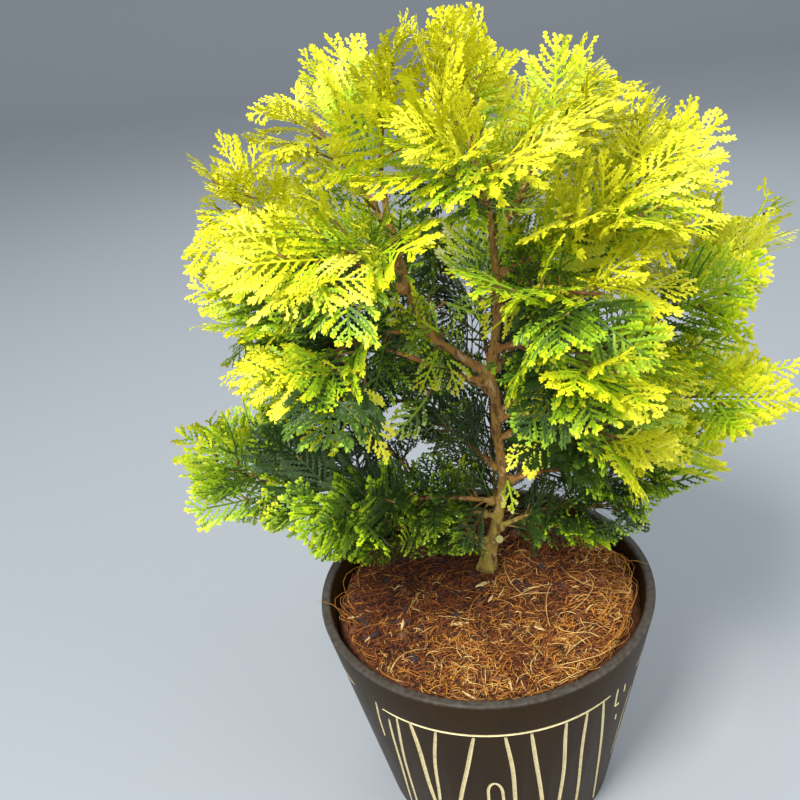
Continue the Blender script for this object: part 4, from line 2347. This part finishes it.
    def wall_fibres(self) -> list:
        """The fine loose fibres that stand against the inner wall, and two over the rim.

        Returns:
            Them, each with its places and its thickness.
        """
        draw = self.draw
        found = []
        for number in range(self.wall_count):
            side = self.front_azimuths if number < self.wall_front else self.left_azimuths
            azimuth = draw.uniform(*side)
            sweep = draw.uniform(5.0, 30.0) * draw.choice((-1, 1))
            rise = draw.uniform(0.5, 4.5) * MM
            inner = self.radius() - draw.uniform(5.0, 11.0) * MM
            bulge = draw.uniform(2.0, 8.0) * MM
            line = []
            for share in (i / self.strand_steps for i in range(self.strand_steps + 1)):
                swing = math.sin(math.pi * share)
                place = outward(azimuth + sweep * share) * min(inner + bulge * swing, self.radius())
                line.append((place.x, place.y, self.top + rise * swing))
            found.append((line, draw.uniform(0.10, 0.17) * MM))
        for knots in self.over_rim:
            spread = np.linspace(0.0, len(knots) - 1.0, self.strand_steps + 1)
            axes = np.array(knots).T * MM
            line = [np.interp(spread, np.arange(len(knots)), axis) for axis in axes]
            found.append((np.stack(line, axis=1), 0.14 * MM))
        return found

    def add_chips(self) -> None:
        """Adds a few pale chips of husk, modelled once and copied."""
        chip = primitive(bpy.ops.mesh.primitive_cube_add, "chip", size=1.0)
        bpy.ops.object.mode_set(mode="EDIT")
        bpy.ops.mesh.subdivide(number_cuts=3)
        bpy.ops.object.mode_set(mode="OBJECT")
        modify(chip, "SUBSURF", levels=1, render_levels=1)
        modify(chip, "TRIANGULATE")
        shape, faces = taken(chip)
        shape[:, 2] += 0.5 * shape[:, 0] ** 2
        shape[:, 1] *= 1.0 - 1.3 * np.abs(shape[:, 0])
        bunch = Bunch("coir_chips")
        for x, y, length, wide, turn in self.chips:
            grain = np.array([noise.noise(Vector((p[0] * 3 + x, p[1] * 3, p[2]))) for p in shape])
            body = (shape + 0.12 * grain[:, None]) * np.array([length, wide, 0.6]) * MM
            body = body @ np.array(Matrix.Rotation(math.radians(-turn), 3, "Z"))
            high = self.height(x * MM, y * MM) + 1.4 * MM
            bunch.add((body + np.array([x * MM, y * MM, high]))[None], faces)
        bunch.build(HUSK, "coir")

    def build(self) -> None:
        """Builds and dresses the fill."""
        self.build_bed()
        self.add_lumps()
        self.add_fibres()
        self.add_chips()


# Studio


@dataclass
class Studio:
    """The pale floor, the soft light and the camera of the first view."""

    camera_place: Vector = Vector(VIEWPOINT)
    pitch: float = math.radians(27.21)
    yaw: float = math.radians(-5.22)
    roll: float = math.radians(-6.99)
    focal_pixels: float = 860.0
    frame_pixels: float = 800.0
    sensor: float = 36.0
    floor_radius: float = 4.0
    wall_height: float = 5.0
    sweep: float = 1.5
    air: Triple = (0.78, 0.82, 0.88)
    air_strength: float = 0.68
    # Each lamp's name, place, side, power in watts and colour.
    lamps: tuple[tuple[str, Triple, float, float, Triple], ...] = (
        ("key", (-0.45, -0.75, 1.40), 0.42, 27.0, (1.0, 0.985, 0.95)),
        ("side", (0.95, -0.45, 0.85), 0.8, 5.0, (1.0, 0.99, 0.97)),
        ("front", (0.2, -1.25, 0.70), 0.8, 4.0, (1.0, 0.99, 0.97)),
        ("back", (0.2, 1.1, 1.0), 0.8, 4.0, (0.95, 0.98, 1.0)),
    )

    def camera(self) -> None:
        """Adds the camera at the first view's place and turn."""
        data = bpy.data.cameras.new("view")
        data.sensor_width = self.sensor
        data.lens = self.focal_pixels / self.frame_pixels * self.sensor
        data.clip_start = 0.01
        camera = linked("view", data)
        level = Vector((math.cos(self.yaw), -math.sin(self.yaw), 0.0))
        ahead = UP.cross(level) * math.cos(self.pitch) - UP * math.sin(self.pitch)
        rise = level.cross(ahead)
        right = level * math.cos(self.roll) + rise * math.sin(self.roll)
        up = rise * math.cos(self.roll) - level * math.sin(self.roll)
        turn = Matrix((right, up, -ahead)).transposed().to_4x4()
        camera.matrix_world = Matrix.Translation(self.camera_place) @ turn
        bpy.context.scene.camera = camera

    def add_lamps(self) -> None:
        """Adds the square soft lights, aimed at the crown."""
        for name, place, size, power, colour in self.lamps:
            data = bpy.data.lights.new(name, "AREA")
            data.size = size
            data.energy = power
            data.color = colour
            turn = (CROWN_CENTRE - Vector(place)).to_track_quat("-Z", "Y").to_matrix().to_4x4()
            linked(name, data).matrix_world = Matrix.Translation(place) @ turn

    def backdrop(self) -> None:
        """Adds the floor, swept up into a wall far behind."""
        plane = bpy.ops.mesh.primitive_plane_add
        floor = primitive(plane, "studio_floor", size=2 * self.floor_radius)
        back = self.floor_radius - 0.01
        select(floor, "EDGE", lambda a, b: min(a.y, b.y) > back)
        wall = {"value": (0.0, 0.0, self.wall_height)}
        bpy.ops.mesh.extrude_edges_move(TRANSFORM_OT_translate=wall)
        select(floor, "EDGE", lambda a, b: min(a.y, b.y) > back and max(a.z, b.z) < 0.01)
        bpy.ops.mesh.bevel(offset=self.sweep, segments=16)
        only()
        dress(floor, FLOOR.make(), 40.0)

    def build(self) -> None:
        """Builds the studio."""
        self.backdrop()
        world = bpy.data.worlds.new("studio_air")
        world.use_nodes = True
        air = world.node_tree.nodes["Background"]
        air.inputs["Color"].default_value = (*self.air, 1.0)
        air.inputs["Strength"].default_value = self.air_strength
        bpy.context.scene.world = world
        self.add_lamps()
        self.camera()
        bpy.context.scene.view_settings.view_transform = "Standard"


def main() -> None:
    """Builds every piece in order."""
    logging.basicConfig(level=logging.INFO, format="%(message)s", force=True)
    Studio().build()
    pot = Pot()
    pot.build()
    Fill(pot).build()
    growth = Growth()
    Limbs(growth).build()
    Foliage(growth).build()


if __name__ == "__main__":
    main()
